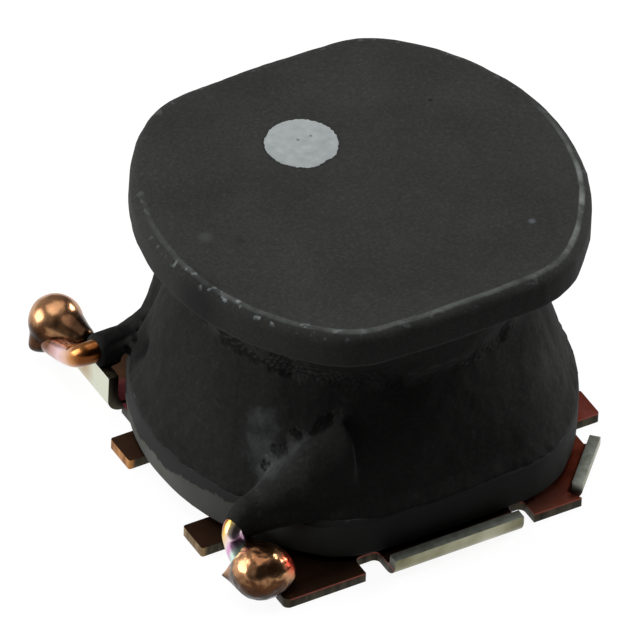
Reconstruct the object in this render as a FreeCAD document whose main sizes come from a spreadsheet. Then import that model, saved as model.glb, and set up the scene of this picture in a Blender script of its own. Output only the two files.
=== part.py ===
import FreeCAD, Part
import Sketcher
import math
import os

V = FreeCAD.Vector
Z_UP = V(0, 0, 1)
doc = FreeCAD.newDocument("inductor")
sheet = doc.addObject("Spreadsheet::Sheet", "Sizes")

# Driving dimensions in millimetres and degrees
sizes = {
    # Drum core: outline of the flanges, then heights
    "core_length": 8.0,
    "core_width": 7.45,
    "core_end_margin": 0.635,
    "core_side_radius": 23.7,
    "core_corner_radius": 1.745,
    "foot_length": 7.86,
    "foot_width": 7.32,
    "post_radius": 1.55,
    "foot_thickness": 0.86,
    "window_height": 3.578,
    "top_thickness": 0.737,
    "core_edge_bevel": 0.12,
    "top_edge_bevel": 0.26,

    # Winding
    "wire_diameter": 0.42,
    "coil_layers": 3,
    "coil_turns": 8,
    "coil_bore_gap": 0.02,
    "coil_end_gap": 0.02,

    # Lead ends: straight part, dip over the flange, then the run outside the weld arm
    "lead_bend_radius": 0.3,
    "lead_mitre_angle": 45,
    "lead_arm_gap": 0.006,
    "lead_start_back": 0.402,
    "lead_start_dip": 0.36,
    "lead_start_fall": 0.27,
    "lead_start_lift": 0.03,
    "lead_start_turn": 2.64,
    "lead_start_knee": 3.12,
    "lead_start_knee_height": 0.64,
    "lead_start_short": 0.01,
    "lead_start_end_height": 0.4,
    "lead_finish_back": -0.038,
    "lead_finish_turn": 2.7,
    "lead_finish_lift": 0.18,
    "lead_finish_knee": 2.86,
    "lead_finish_knee_height": 0.84,
    "lead_finish_short": 0.07,
    "lead_finish_end_height": 0.6,

    # Resin coat: its reach past the coil at the ends and sides, at three heights above the foot flange
    "coat_foot_inset": 0.1,
    "coat_mid_end_wall": 0.69,
    "coat_mid_side_wall": 0.52,
    "coat_mid_height": 1.04,
    "coat_mid_end_swell": 0.25,
    "coat_mid_side_swell": 3,
    "coat_mid_corner": 2.05,
    "coat_waist_end_wall": 0.15,
    "coat_waist_side_wall": 0.12,
    "coat_waist_height": 2.3,
    "coat_waist_swell": 0.2,
    "coat_top_end_wall": 0.545,
    "coat_top_side_wall": 0.5,
    "coat_top_swell": 0.3,
    "coat_top_corner": 2.4,
    "coat_bore_gap": 0.02,

    # Fins over the leads: distance back from the drum's rim, half thickness, ridge height, depth below the ridge
    "lead_gap": 0.015,
    "fin_root_back": 1.582,
    "fin_root_round": 0.7,
    "fin_near_back": 0.782,
    "fin_near_round": 0.56,
    "fin_middle_back": 0.432,
    "fin_middle_round": 0.42,
    "fin_far_back": 0.032,
    "fin_far_round": 0.33,
    "fin_end_back": -0.298,
    "fin_end_round": 0.28,
    "start_root_ridge": 1.55,
    "start_near_ridge": 1.02,
    "start_middle_ridge": 0.52,
    "start_far_ridge": 0.25,
    "start_end_ridge": 0.17,
    "start_root_depth": 0.45,
    "start_near_depth": 0.11,
    "start_middle_depth": 0.04,
    "start_far_depth": 0.04,
    "start_end_depth": 0.04,
    "finish_root_ridge": 1.75,
    "finish_near_ridge": 1.24,
    "finish_middle_ridge": 0.88,
    "finish_far_ridge": 0.58,
    "finish_end_ridge": 0.38,
    "finish_root_depth": 0.65,
    "finish_near_depth": 0.33,
    "finish_middle_depth": 0.24,
    "finish_far_depth": 0.09,
    "finish_end_depth": 0.04,

    # Terminals: sheet, bends and the plate outline
    "sheet_thickness": 0.2,
    "bend_radius": 0.1,
    "bend_overlap": 0.3,
    "plate_margin": 0.22,
    "plate_west_inset": 0.236,
    "plate_corner_radius": 0.12,
    "start_inner": 0.55,
    "notch_depth": 0.43,
    "notch_radius": 0.12,
    "notch_west_width": 0.47,
    "notch_east_width": 0.33,
    "tab_west": -1.42,
    "tab_east": 1.17,
    "tab_gap": 0.22,
    "tab_height": 0.43,
    "corner_tab_gap": 0.638,
    "corner_tab_angle": 43.45,
    "corner_tab_length": 1.309,
    "corner_tab_shift": 0.371,
    "corner_land": 2.46,
    "stub_width": 0.69,
    "stub_inset_west": 0.07,
    "stub_inset_east": 0.13,
    "stub_west_length": 0.63,
    "stub_east_length": 0.657,
    "stub_land": 0.02,
    "stub_corner_radius": 0.05,

    # Weld arms and beads
    "arm_gap": 0.154,
    "arm_from": 2.1,
    "arm_root_margin": 0.43,
    "arm_relief": 0.08,
    "arm_relief_depth": 0.1,
    "arm_height": 0.81,
    "arm_clearance": 0.05,
    "start_arm_to": 4.0,
    "finish_arm_to": 3.6,
    "start_bead_past": 0.01,
    "start_bead_z": 0.69,
    "start_bead_radius": 0.49,
    "start_beak_out": 0.52,
    "start_beak_along": 0.06,
    "start_beak_down": 0.39,
    "finish_bead_past": -0.23,
    "finish_bead_z": 0.6,
    "finish_bead_radius": 0.54,
    "finish_beak_out": 0.5,
    "finish_beak_along": -0.49,
    "finish_beak_down": 0.29,
    "beak_root_height": 0.2,
    "beak_tip_radius": 0.05,

    # Adhesive and polarity dot
    "glue_thickness": 0.08,
    "glue_margin": 0.12,
    "glue_length": 5.1,
    "glue_reach": 3.0,
    "dot_x": -0.39,
    "dot_y": 1.42,
    "dot_radius": 0.63,
    "dot_thickness": 0.02,
}

for row, (name, number) in enumerate(sizes.items(), 1):
    sheet.set("A%d" % row, name)
    sheet.set("B%d" % row, str(number))
    sheet.setAlias("B%d" % row, name)
doc.recompute()


def formula(text):
    # A size or a sum of sizes, with each name looked up in the sheet.
    for name in sorted(sizes, key=len, reverse=True):
        text = text.replace("{" + name + "}", "Sizes." + name)
    return text


def value(text):
    # The number that a formula has now.
    return float(sheet.evalExpression(formula(text)))


def body_named(name):
    body = doc.addObject("PartDesign::Body", name)
    body.Label = name
    return body


def plane_of(body, role):
    for feature in body.Origin.OriginFeatures:
        if feature.Role == role:
            return feature


def sketch_on(body, name, role, z="0"):
    # A sketch on an origin plane of its own body, or at a distance from it.
    sketch = body.newObject("Sketcher::SketchObject", name)
    sketch.AttachmentSupport = [(plane_of(body, role), "")]
    sketch.MapMode = "FlatFace"
    sketch.setExpression("AttachmentOffset.Base.z", formula(z))
    return sketch


def polygon(sketch, corners):
    # A closed outline whose corners are pairs of formulas.
    points = [V(value(x), value(y), 0) for x, y in corners]
    count = len(points)
    for index in range(count):
        sketch.addGeometry(Part.LineSegment(points[index], points[(index + 1) % count]), False)
    for index in range(count):
        sketch.addConstraint(Sketcher.Constraint("Coincident", index, 2, (index + 1) % count, 1))
    for index, (x, y) in enumerate(corners):
        for kind, text, number in (("DistanceX", x, points[index].x), ("DistanceY", y, points[index].y)):
            place = sketch.addConstraint(Sketcher.Constraint(kind, -1, 1, index, 1, number))
            sketch.setExpression("Constraints[%d]" % place, formula(text))


def circle(sketch, x, y, radius):
    sketch.addGeometry(Part.Circle(V(value(x), value(y), 0), Z_UP, value(radius)), False)
    index = sketch.GeometryCount - 1
    place = sketch.addConstraint(Sketcher.Constraint("Radius", index, value(radius)))
    sketch.setExpression("Constraints[%d]" % place, formula(radius))
    for kind, text in (("DistanceX", x), ("DistanceY", y)):
        place = sketch.addConstraint(Sketcher.Constraint(kind, -1, 1, index, 3, value(text)))
        sketch.setExpression("Constraints[%d]" % place, formula(text))


def rounded_outline(sketch, length, width, end_radius, side_radius, corner_radius):
    # Four wide arcs about the two axes, joined by four tangent corner arcs.
    half_length = value(length) / 2
    half_width = value(width) / 2
    end = value(end_radius)
    side = value(side_radius)
    corner = value(corner_radius)
    end_x = half_length - end
    side_y = half_width - side
    span = math.hypot(end_x, side_y)
    along = ((end - corner) ** 2 - (side - corner) ** 2 + span ** 2) / (2 * span)
    off = math.sqrt((end - corner) ** 2 - along ** 2)
    ux, uy = -end_x / span, side_y / span
    corner_x = end_x + ux * along - uy * off
    corner_y = uy * along + ux * off
    if corner_x < 0 or corner_y < 0:
        corner_x = end_x + ux * along + uy * off
        corner_y = uy * along - ux * off
    turn_end = math.atan2(corner_y, corner_x - end_x)
    turn_side = math.atan2(corner_y - side_y, corner_x)
    quarter = math.pi / 2
    arcs = []
    for index in range(4):
        sx, sy = ((1, 1), (-1, 1), (-1, -1), (1, -1))[index]
        wide = (end_x, 0, end) if index % 2 == 0 else (0, side_y, side)
        low = turn_end if index % 2 == 0 else quarter - turn_side
        middle = index * quarter
        centre = ((end_x, 0), (0, side_y), (-end_x, 0), (0, -side_y))[index]
        arcs.append((centre, wide[2], middle - low, middle + low))
        first = turn_end if index % 2 == 0 else 2 * quarter - turn_side
        last = turn_side if index % 2 == 0 else 2 * quarter - turn_end
        shift = (index // 2) * 2 * quarter
        arcs.append(((sx * corner_x, sy * corner_y), corner, first + shift, last + shift))
    for centre, radius, first, last in arcs:
        round_edge = Part.Circle(V(centre[0], centre[1], 0), Z_UP, radius)
        sketch.addGeometry(Part.ArcOfCircle(round_edge, first, last), False)
    for index in range(8):
        sketch.addConstraint(Sketcher.Constraint("Tangent", index, 2, (index + 1) % 8, 1))
    for index in range(8):
        text = corner_radius if index % 2 else (end_radius, side_radius)[(index // 2) % 2]
        place = sketch.addConstraint(Sketcher.Constraint("Radius", index, arcs[index][1]))
        sketch.setExpression("Constraints[%d]" % place, formula(text))
    for index in range(0, 8, 2):
        across = index % 4 == 0
        sign = "" if index < 4 else "-"
        along_text = "%s(%s / 2 - %s)" % (sign, length if across else width, end_radius if across else side_radius)
        centre = arcs[index][0]
        for kind, text in (("DistanceX", along_text if across else "0"), ("DistanceY", "0" if across else along_text)):
            number = centre[0] if kind == "DistanceX" else centre[1]
            if text == "0":
                axis_line = -1 if across else -2
                sketch.addConstraint(Sketcher.Constraint("PointOnObject", index, 3, axis_line))
            else:
                place = sketch.addConstraint(Sketcher.Constraint(kind, -1, 1, index, 3, number))
                sketch.setExpression("Constraints[%d]" % place, formula(text))


def pad(body, name, sketch, length, reverse=False, both_ways=False):
    feature = body.newObject("PartDesign::Pad", name)
    feature.Profile = sketch
    feature.setExpression("Length", formula(length))
    feature.Reversed = reverse
    if both_ways:
        feature.SideType = "Symmetric"
    return feature


def pocket(body, name, sketch, length, reverse=False):
    feature = body.newObject("PartDesign::Pocket", name)
    feature.Profile = sketch
    feature.setExpression("Length", formula(length))
    feature.Reversed = reverse
    return feature


def edges_where(feature, test):
    # Names of the edges whose bounding box passes the test.
    return ["Edge%d" % (index + 1) for index, edge in enumerate(feature.Shape.Edges) if test(edge.BoundBox)]


def level(height, beyond=0):
    # A test for edges that lie at one height and reach out beyond a radius.
    return lambda box: abs(box.ZMin - height) < 1e-5 and abs(box.ZMax - height) < 1e-5 and max(
        abs(box.XMin), abs(box.XMax), abs(box.YMin), abs(box.YMax)) > beyond


def dress(body, name, kind, base, edges, amount):
    # A fillet or chamfer of named edges on the last feature.
    feature = body.newObject("PartDesign::" + kind, name)
    feature.Base = (base, edges)
    feature.setExpression("Radius" if kind == "Fillet" else "Size", formula(amount))
    doc.recompute()
    return feature


# Places that several pieces share: the drum's rim beside the weld arms, the plates' edges and the coil
foot_end_radius = "({foot_width} / 2 + {core_end_margin})"
rim_reach = ("({foot_length} / 2 - %s + sqrt(%s * %s - {arm_from} * {arm_from}))"
             % (foot_end_radius, foot_end_radius, foot_end_radius))
arm_reach = "(%s + {arm_gap} + {sheet_thickness})" % rim_reach
plate_reach = "({foot_width} / 2 + {plate_margin})"
inner_edge = {
    "start": "{start_inner}",
    "finish": "({arm_from} - {arm_relief} - {stub_land} - {stub_width} - {stub_inset_west})",
}
bead_place = {word: "({%s_arm_to} + {%s_bead_past})" % (word, word) for word in ("start", "finish")}
coil_inner = "({post_radius} + {coil_bore_gap})"
coil_depth = "({coil_layers} * {wire_diameter})"
coil_outer = "(%s + %s)" % (coil_inner, coil_depth)

# Drum core
foot_bottom = "({sheet_thickness} + {glue_thickness})"
foot_top = "(%s + {foot_thickness})" % foot_bottom
top_bottom = "(%s + {window_height})" % foot_top
top_face = "(%s + {top_thickness})" % top_bottom

core = body_named("drum_core")
foot_outline = sketch_on(core, "foot_outline", "XY_Plane", z=foot_bottom)
rounded_outline(foot_outline, "{foot_length}", "{foot_width}", foot_end_radius, "{core_side_radius}",
                "{core_corner_radius}")
foot = pad(core, "foot_flange", foot_outline, "{foot_thickness}")
post_outline = sketch_on(core, "post_outline", "XY_Plane", z=foot_bottom)
circle(post_outline, "0", "0", "{post_radius}")
post = pad(core, "post", post_outline, "{foot_thickness} + {window_height} + {top_thickness}")
top_outline = sketch_on(core, "top_outline", "XY_Plane", z=top_bottom)
rounded_outline(top_outline, "{core_length}", "{core_width}", "({core_width} / 2 + {core_end_margin})",
                "{core_side_radius}", "{core_corner_radius}")
top = pad(core, "top_flange", top_outline, "{top_thickness}")
doc.recompute()
outer = value("{post_radius}") * 1.2
core_rims = [value(foot_bottom), value(foot_top), value(top_bottom)]
soft_rims = []
for rim_height in core_rims:
    soft_rims += edges_where(top, level(rim_height, outer))
core_soft = dress(core, "rim_bevel", "Chamfer", top, soft_rims, "{core_edge_bevel}")
top_rim = edges_where(core_soft, level(value(top_face), outer))
core_bevel = dress(core, "top_bevel", "Chamfer", core_soft, top_rim, "{top_edge_bevel}")

# Winding: a ridged coil, then two lead ends that leave it tangentially
coil_low = "(%s + {coil_end_gap})" % foot_top
coil_high = "(%s - {coil_end_gap})" % top_bottom
turn_pitch = "((%s - %s) / {coil_turns})" % (coil_high, coil_low)

coil = body_named("coil")
coil_section = sketch_on(coil, "coil_section", "XZ_Plane")
ridge_root = "(%s - {wire_diameter} / 2)" % coil_outer
polygon(coil_section, [(coil_inner, coil_low), (ridge_root, coil_low), (ridge_root, coil_high),
                       (coil_inner, coil_high)])
coil_core = coil.newObject("PartDesign::Revolution", "coil_core")
coil_core.Profile = coil_section
coil_core.ReferenceAxis = (coil_section, ["V_Axis"])
coil_core.Angle = 360
ridge_section = sketch_on(coil, "ridge_section", "XZ_Plane")
polygon(ridge_section, [(ridge_root, coil_low), (ridge_root, "%s + %s" % (coil_low, turn_pitch)),
                        (coil_outer, "%s + %s / 2" % (coil_low, turn_pitch))])
ridge = coil.newObject("PartDesign::Revolution", "outer_turn")
ridge.Profile = ridge_section
ridge.ReferenceAxis = (ridge_section, ["V_Axis"])
ridge.Angle = 360
doc.recompute()
turns = coil.newObject("PartDesign::LinearPattern", "outer_turns")
turns.Originals = [ridge]
turns.Direction = (ridge_section, ["V_Axis"])
turns.setExpression("Length", formula("%s * ({coil_turns} - 1)" % turn_pitch))
turns.setExpression("Occurrences", formula("{coil_turns}"))
coil.Tip = turns
doc.recompute()


def run_of_wire(points, radius, bend, sharp_bend):
    # A round wire along straight runs. Wide turns are tangent arcs, slight ones are mitred.
    edges = []
    start = points[0]
    for index in range(1, len(points) - 1):
        before = (points[index - 1] - points[index]).normalize()
        after = (points[index + 1] - points[index]).normalize()
        turn = math.pi - before.getAngle(after)
        arc_start = points[index]
        arc_end = points[index]
        if math.degrees(turn) > sharp_bend:
            middle = (before + after).normalize()
            centre = points[index] + middle * (bend / math.cos(turn / 2))
            arc_start = points[index] + before * (bend * math.tan(turn / 2))
            arc_end = points[index] + after * (bend * math.tan(turn / 2))
            edges.append(Part.LineSegment(start, arc_start).toShape())
            edges.append(Part.Arc(arc_start, centre - middle * bend, arc_end).toShape())
        else:
            edges.append(Part.LineSegment(start, arc_start).toShape())
        start = arc_end
    edges.append(Part.LineSegment(start, points[-1]).toShape())
    path = Part.Wire(edges)
    section = Part.Wire(Part.Circle(points[0], points[1] - points[0], radius).toShape())
    return path.makePipeShell([section], True, False, 1)


def lead_points(word, side):
    # The route of one lead end, with side +1 or -1 along Y.
    radius = value("{wire_diameter} / 2")
    along = value(coil_outer) - radius
    low = value(coil_low) + radius
    straight = value("%s - {lead_%s_back}" % (rim_reach, word))
    reach = value("%s + {wire_diameter} / 2 + {lead_arm_gap}" % arm_reach)
    turn = value("{lead_%s_turn}" % word)
    level_height = value("{arm_height} + {wire_diameter} / 2 + {lead_%s_lift}" % word)
    knee = value("{lead_%s_knee}" % word)
    knee_height = value("{lead_%s_knee_height}" % word)
    end = value("%s - {lead_%s_short}" % (bead_place[word], word))
    end_height = value("{lead_%s_end_height}" % word)
    points = [V(0, side * along, low), V(-straight, side * along, low)]
    if word == "start":
        dip = value("{lead_start_dip}")
        fall = value("{lead_start_fall}")
        points.append(V(-straight - dip, side * along, low - fall))
    points.append(V(-reach, side * turn, level_height))
    points.append(V(-reach, side * knee, knee_height))
    points.append(V(-reach, side * end, end_height))
    return points


def feature_of(name, shape):
    # A solid made directly from curves.
    feature = doc.addObject("Part::Feature", name)
    feature.Shape = shape
    return feature


wire_radius = value("{wire_diameter} / 2")
lead_bend = value("{lead_bend_radius}")
mitre_limit = value("{lead_mitre_angle}")
leads = []
channels = []
for word, side in (("start", 1), ("finish", -1)):
    route = lead_points(word, side)
    leads.append(feature_of("lead_" + word, run_of_wire(route, wire_radius, lead_bend, mitre_limit)))
    clear = wire_radius + value("{lead_gap}")
    channels.append(feature_of("channel_" + word, run_of_wire(route[:-2], clear, lead_bend, mitre_limit)))
winding = doc.addObject("Part::MultiFuse", "winding")
winding.Label = "winding"
winding.Shapes = [coil] + leads
winding.Refine = False

# Resin coat: a waisted skin lofted between the flanges, bored for the coil
coat = body_named("coat")
coat_levels = [
    ("coat_foot", "({foot_length} - 2 * {coat_foot_inset})", "({foot_width} - 2 * {coat_foot_inset})", "0",
     "(%s - {coat_foot_inset})" % foot_end_radius, "({core_side_radius} - {coat_foot_inset})",
     "({core_corner_radius} - {coat_foot_inset})"),
]
for level_name, height, end_swell, side_swell, corner_radius in (
        ("mid", "{coat_mid_height}", "{coat_mid_end_swell}", "{coat_mid_side_swell}", "{coat_mid_corner}"),
        ("waist", "{coat_waist_height}", "{coat_waist_swell}", "{coat_waist_swell}", "{coat_top_corner}"),
        ("top", "{window_height}", "{coat_top_swell}", "{coat_top_swell}", "{coat_top_corner}")):
    half_length = "(%s + {coat_%s_end_wall})" % (coil_outer, level_name)
    half_width = "(%s + {coat_%s_side_wall})" % (coil_outer, level_name)
    coat_levels.append(("coat_" + level_name, "(2 * %s)" % half_length, "(2 * %s)" % half_width, height,
                        "(%s + %s)" % (half_length, end_swell), "(%s + %s)" % (half_width, side_swell),
                        corner_radius))
coat_sections = []
for name, length, width, height, end_radius, side_radius, corner_radius in coat_levels:
    section = sketch_on(coat, name, "XY_Plane", z="%s + %s" % (foot_top, height))
    rounded_outline(section, length, width, end_radius, side_radius, corner_radius)
    coat_sections.append(section)
doc.recompute()
for name, stack in (("coat_skirt", coat_sections[:3]), ("coat_neck", coat_sections[2:])):
    skin = coat.newObject("PartDesign::AdditiveLoft", name)
    skin.Profile = stack[0]
    skin.Sections = stack[1:]
    doc.recompute()


def slot(sketch, along, low, high, radius):
    # An upright slot: two lines joined by two half circles.
    y = value(along)
    z_low = value(low)
    z_high = value(high)
    r = value(radius)
    sketch.addGeometry(Part.LineSegment(V(y + r, z_low, 0), V(y + r, z_high, 0)), False)
    sketch.addGeometry(Part.ArcOfCircle(Part.Circle(V(y, z_high, 0), Z_UP, r), 0, math.pi), False)
    sketch.addGeometry(Part.LineSegment(V(y - r, z_high, 0), V(y - r, z_low, 0)), False)
    sketch.addGeometry(Part.ArcOfCircle(Part.Circle(V(y, z_low, 0), Z_UP, r), math.pi, 2 * math.pi), False)
    for index in range(4):
        sketch.addConstraint(Sketcher.Constraint("Tangent", index, 2, (index + 1) % 4, 1))
    for index, height in ((1, high), (3, low)):
        place = sketch.addConstraint(Sketcher.Constraint("Radius", index, r))
        sketch.setExpression("Constraints[%d]" % place, formula(radius))
        place = sketch.addConstraint(Sketcher.Constraint("DistanceX", -1, 1, index, 3, y))
        sketch.setExpression("Constraints[%d]" % place, formula(along))
        place = sketch.addConstraint(Sketcher.Constraint("DistanceY", -1, 1, index, 3, value(height)))
        sketch.setExpression("Constraints[%d]" % place, formula(height))


# Fins of resin over the leads, one slot per station
for word, side in (("start", ""), ("finish", "-")):
    sections = []
    for place_name in ("root", "near", "middle", "far", "end"):
        out = "-(%s - {fin_%s_back})" % (rim_reach, place_name)
        section = sketch_on(coat, "fin_%s_%s" % (word, place_name), "YZ_Plane", z=out)
        half = "{fin_%s_round}" % place_name
        ridge_height = "(%s + {%s_%s_ridge} - %s)" % (foot_top, word, place_name, half)
        keel_height = "(%s - {%s_%s_depth})" % (ridge_height, word, place_name)
        slot(section, "%s(%s - {wire_diameter} / 2)" % (side, coil_outer), keel_height, ridge_height, half)
        sections.append(section)
    doc.recompute()
    fin = coat.newObject("PartDesign::AdditiveLoft", "fin_" + word)
    fin.Profile = sections[0]
    fin.Sections = sections[1:]
    fin.Ruled = True
    doc.recompute()

# Bore that the coil fills
bore_outline = sketch_on(coat, "coil_bore", "XY_Plane", z=foot_top)
circle(bore_outline, "0", "0", "%s + {coat_bore_gap}" % coil_outer)
bore = pocket(coat, "bore", bore_outline, "{window_height}", True)
doc.recompute()


def bent_sheet(sketch, sign, root, reach, height):
    # A strip of sheet that lies flat, then turns up through a quarter circle.
    outer_radius = "({bend_radius} + {sheet_thickness})"
    turn = "(%s - %s)" % (reach, outer_radius)
    inner_face = "(%s - {sheet_thickness})" % reach
    corners = [(root, "0"), (turn, "0"), (reach, outer_radius), (reach, height), (inner_face, height),
               (inner_face, outer_radius), (turn, "{sheet_thickness}"), (root, "{sheet_thickness}")]
    points = [V(value("%s%s" % (sign, x)), value(y), 0) for x, y in corners]
    count = len(points)
    centre = V(value("%s%s" % (sign, turn)), value(outer_radius), 0)
    quarter = (1.5 * math.pi, 2 * math.pi) if sign == "" else (math.pi, 1.5 * math.pi)
    ends = []
    for index in range(count):
        forward = True
        if index in (1, 5):
            radius = value(outer_radius) if index == 1 else value("{bend_radius}")
            sketch.addGeometry(Part.ArcOfCircle(Part.Circle(centre, Z_UP, radius), *quarter), False)
            forward = (index == 1) == (sign == "")
        else:
            sketch.addGeometry(Part.LineSegment(points[index], points[(index + 1) % count]), False)
        ends.append((1, 2) if forward else (2, 1))
    for index in range(count):
        following = (index + 1) % count
        sketch.addConstraint(Sketcher.Constraint("Coincident", index, ends[index][1], following, ends[following][0]))
    for index, (x, y) in enumerate(corners):
        for kind, text, number in (("DistanceX", sign + x, points[index].x), ("DistanceY", y, points[index].y)):
            place = sketch.addConstraint(Sketcher.Constraint(kind, -1, 1, index, ends[index][0], number))
            sketch.setExpression("Constraints[%d]" % place, formula(text))
    for index, text in ((1, outer_radius), (5, "{bend_radius}")):
        place = sketch.addConstraint(Sketcher.Constraint("Radius", index, value(text)))
        sketch.setExpression("Constraints[%d]" % place, formula(text))


def terminal(word, sign):
    # One half of the lead frame: flat plate, notches, bent tabs, cut stubs and weld arm.
    body = body_named("terminal_" + word)
    inner = inner_edge[word]
    outer_bend = "({bend_radius} + {sheet_thickness})"
    arm_root = "(%s - %s)" % (arm_reach, outer_bend)
    arm_root_end = "(%s - {arm_root_margin})" % plate_reach
    relief_x = "-(%s - {arm_relief_depth})" % arm_root
    west = "(%s - {plate_west_inset})" % arm_reach
    notch_floor = "(%s - {notch_depth})" % plate_reach
    notch_west = "({tab_west} - {notch_west_width})"
    notch_east = "({tab_east} + {notch_east_width})"
    tab_reach = "({foot_width} / 2 + {tab_gap} + {sheet_thickness})"
    tab_root = "(%s - %s)" % (tab_reach, outer_bend)
    high_end = "({corner_tab_length} / 2 + {corner_tab_shift})"
    low_end = "({corner_tab_length} / 2 - {corner_tab_shift})"
    cosine = "cos({corner_tab_angle})"
    sine = "sin({corner_tab_angle})"
    flange_x = "({foot_length} / 2 * %s)" % cosine
    flange_y = "({foot_width} / 2 * %s)" % sine
    corner_reach = "(sqrt(%s * %s + %s * %s) + {corner_tab_gap})" % (flange_x, flange_x, flange_y, flange_y)
    corner_root = "(%s - %s)" % (corner_reach, outer_bend)
    corner_high = ("%s * %s - %s * %s" % (corner_root, cosine, high_end, sine),
                   "(%s * %s + %s * %s)" % (corner_root, sine, high_end, cosine))
    corner_low = ("(%s * %s + %s * %s)" % (corner_root, cosine, low_end, sine),
                  "(%s * %s - %s * %s)" % (corner_root, sine, low_end, cosine))
    east = corner_low[0]
    west_from = "(%s + {stub_inset_west})" % inner
    west_to = "(%s + {stub_width})" % west_from
    east_from = "(%s + {stub_inset_east})" % inner
    east_to = "(%s + {stub_width})" % east_from
    stub_west = "(%s + {stub_west_length})" % west
    stub_east = "(%s + {stub_east_length})" % east
    outline = [
        ("-" + west, inner), ("-" + west, west_from), ("-" + stub_west, west_from), ("-" + stub_west, west_to),
        ("-" + west, west_to), ("-" + west, "({arm_from} - {arm_relief})"), (relief_x, "({arm_from} - {arm_relief})"),
        (relief_x, "{arm_from}"), ("-" + arm_root, "{arm_from}"), ("-" + arm_root, arm_root_end),
        (relief_x, arm_root_end), (relief_x, "(%s + {arm_relief})" % arm_root_end),
        ("-" + west, "(%s + {arm_relief})" % arm_root_end), ("-" + west, plate_reach), (notch_west, plate_reach),
        (notch_west, notch_floor), ("{tab_west}", notch_floor), ("{tab_west}", tab_root), ("{tab_east}", tab_root),
        ("{tab_east}", notch_floor), (notch_east, notch_floor), (notch_east, plate_reach),
        ("{corner_land}", plate_reach), corner_high, corner_low, (east, east_to), (stub_east, east_to),
        (stub_east, east_from), (east, east_from), (east, inner)]
    outline = [(x, sign + y) for x, y in outline]
    plate_outline = sketch_on(body, "plate_outline_" + word, "XY_Plane")
    polygon(plate_outline, outline)
    plate = pad(body, "plate_" + word, plate_outline, "{sheet_thickness}")
    doc.recompute()

    def upright_at(places):
        found = []
        for x, y in places:
            px, py = value(x), value(sign + y)
            found += edges_where(body.Tip, lambda box: box.ZLength > 0.1 and math.hypot(
                box.Center.x - px, box.Center.y - py) < 1e-4)
        return found

    notch_corners = [(notch_west, notch_floor), ("{tab_west}", notch_floor), ("{tab_east}", notch_floor),
                     (notch_east, notch_floor)]
    rounded = dress(body, "notch_rounding_" + word, "Fillet", plate, upright_at(notch_corners), "{notch_radius}")
    plate_corner = upright_at([("-" + west, plate_reach)])
    rounded = dress(body, "plate_rounding_" + word, "Fillet", rounded, plate_corner, "{plate_corner_radius}")
    stub_corners = [("-" + stub_west, west_from), ("-" + stub_west, west_to), (stub_east, east_to),
                    (stub_east, east_from)]
    rounded = dress(body, "stub_rounding_" + word, "Fillet", rounded, upright_at(stub_corners),
                    "{stub_corner_radius}")

    tab_middle = "({tab_west} + {tab_east}) / 2"
    tab_section = sketch_on(body, "tab_section_" + word, "YZ_Plane", z=tab_middle)
    bent_sheet(tab_section, sign, "(%s - {bend_overlap})" % tab_root, tab_reach, "{tab_height}")
    pad(body, "side_tab_" + word, tab_section, "{tab_east} - {tab_west}", both_ways=True)
    doc.recompute()

    corner_section = sketch_on(body, "corner_section_" + word, "XZ_Plane")
    swing = value("{corner_tab_angle}") * (1 if sign == "" else -1)
    corner_section.AttachmentOffset = FreeCAD.Placement(V(), FreeCAD.Rotation(V(0, 1, 0), swing))
    bent_sheet(corner_section, "", "(%s - {bend_overlap})" % corner_root, corner_reach, "{tab_height}")
    corner_tab = body.newObject("PartDesign::Pad", "corner_tab_" + word)
    corner_tab.Profile = corner_section
    corner_tab.SideType = "Two sides"
    corner_tab.setExpression("Length", formula(low_end if sign == "" else high_end))
    corner_tab.setExpression("Length2", formula(high_end if sign == "" else low_end))
    doc.recompute()

    arm_middle = "%s({arm_from} + %s) / 2" % ("-" if sign == "" else "", arm_root_end)
    arm_section = sketch_on(body, "arm_section_" + word, "XZ_Plane", z=arm_middle)
    bent_sheet(arm_section, "-", "(%s - {bend_overlap})" % arm_root, arm_reach, "{arm_height}")
    pad(body, "arm_root_" + word, arm_section, "%s - {arm_from}" % arm_root_end, both_ways=True)
    doc.recompute()

    arm_end = "{%s_arm_to}" % word
    wall_section = sketch_on(body, "wall_section_" + word, "XZ_Plane", z=("-" if sign == "" else "") + arm_end)
    wall_low = "{sheet_thickness} + {arm_clearance}"
    wall_inner = "-(%s - {sheet_thickness})" % arm_reach
    polygon(wall_section, [("-" + arm_reach, wall_low), (wall_inner, wall_low), (wall_inner, "{arm_height}"),
                           ("-" + arm_reach, "{arm_height}")])
    pad(body, "arm_wall_" + word, wall_section, "%s - {arm_from}" % arm_end, reverse=(sign == "-"))
    doc.recompute()
    return body


terminals = {}
for word, sign in (("start", ""), ("finish", "-")):
    terminals[word] = terminal(word, sign)

# The coat is relieved where it meets the drum, the leads and the weld arms
coat_relief = doc.addObject("Part::MultiFuse", "coat_relief")
coat_relief.Shapes = [core, terminals["start"], terminals["finish"]] + channels
coat_relief.Refine = False
resin = doc.addObject("Part::Cut", "resin_coat")
resin.Label = "resin_coat"
resin.Base = coat
resin.Tool = coat_relief
resin.Refine = False
doc.recompute()


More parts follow.
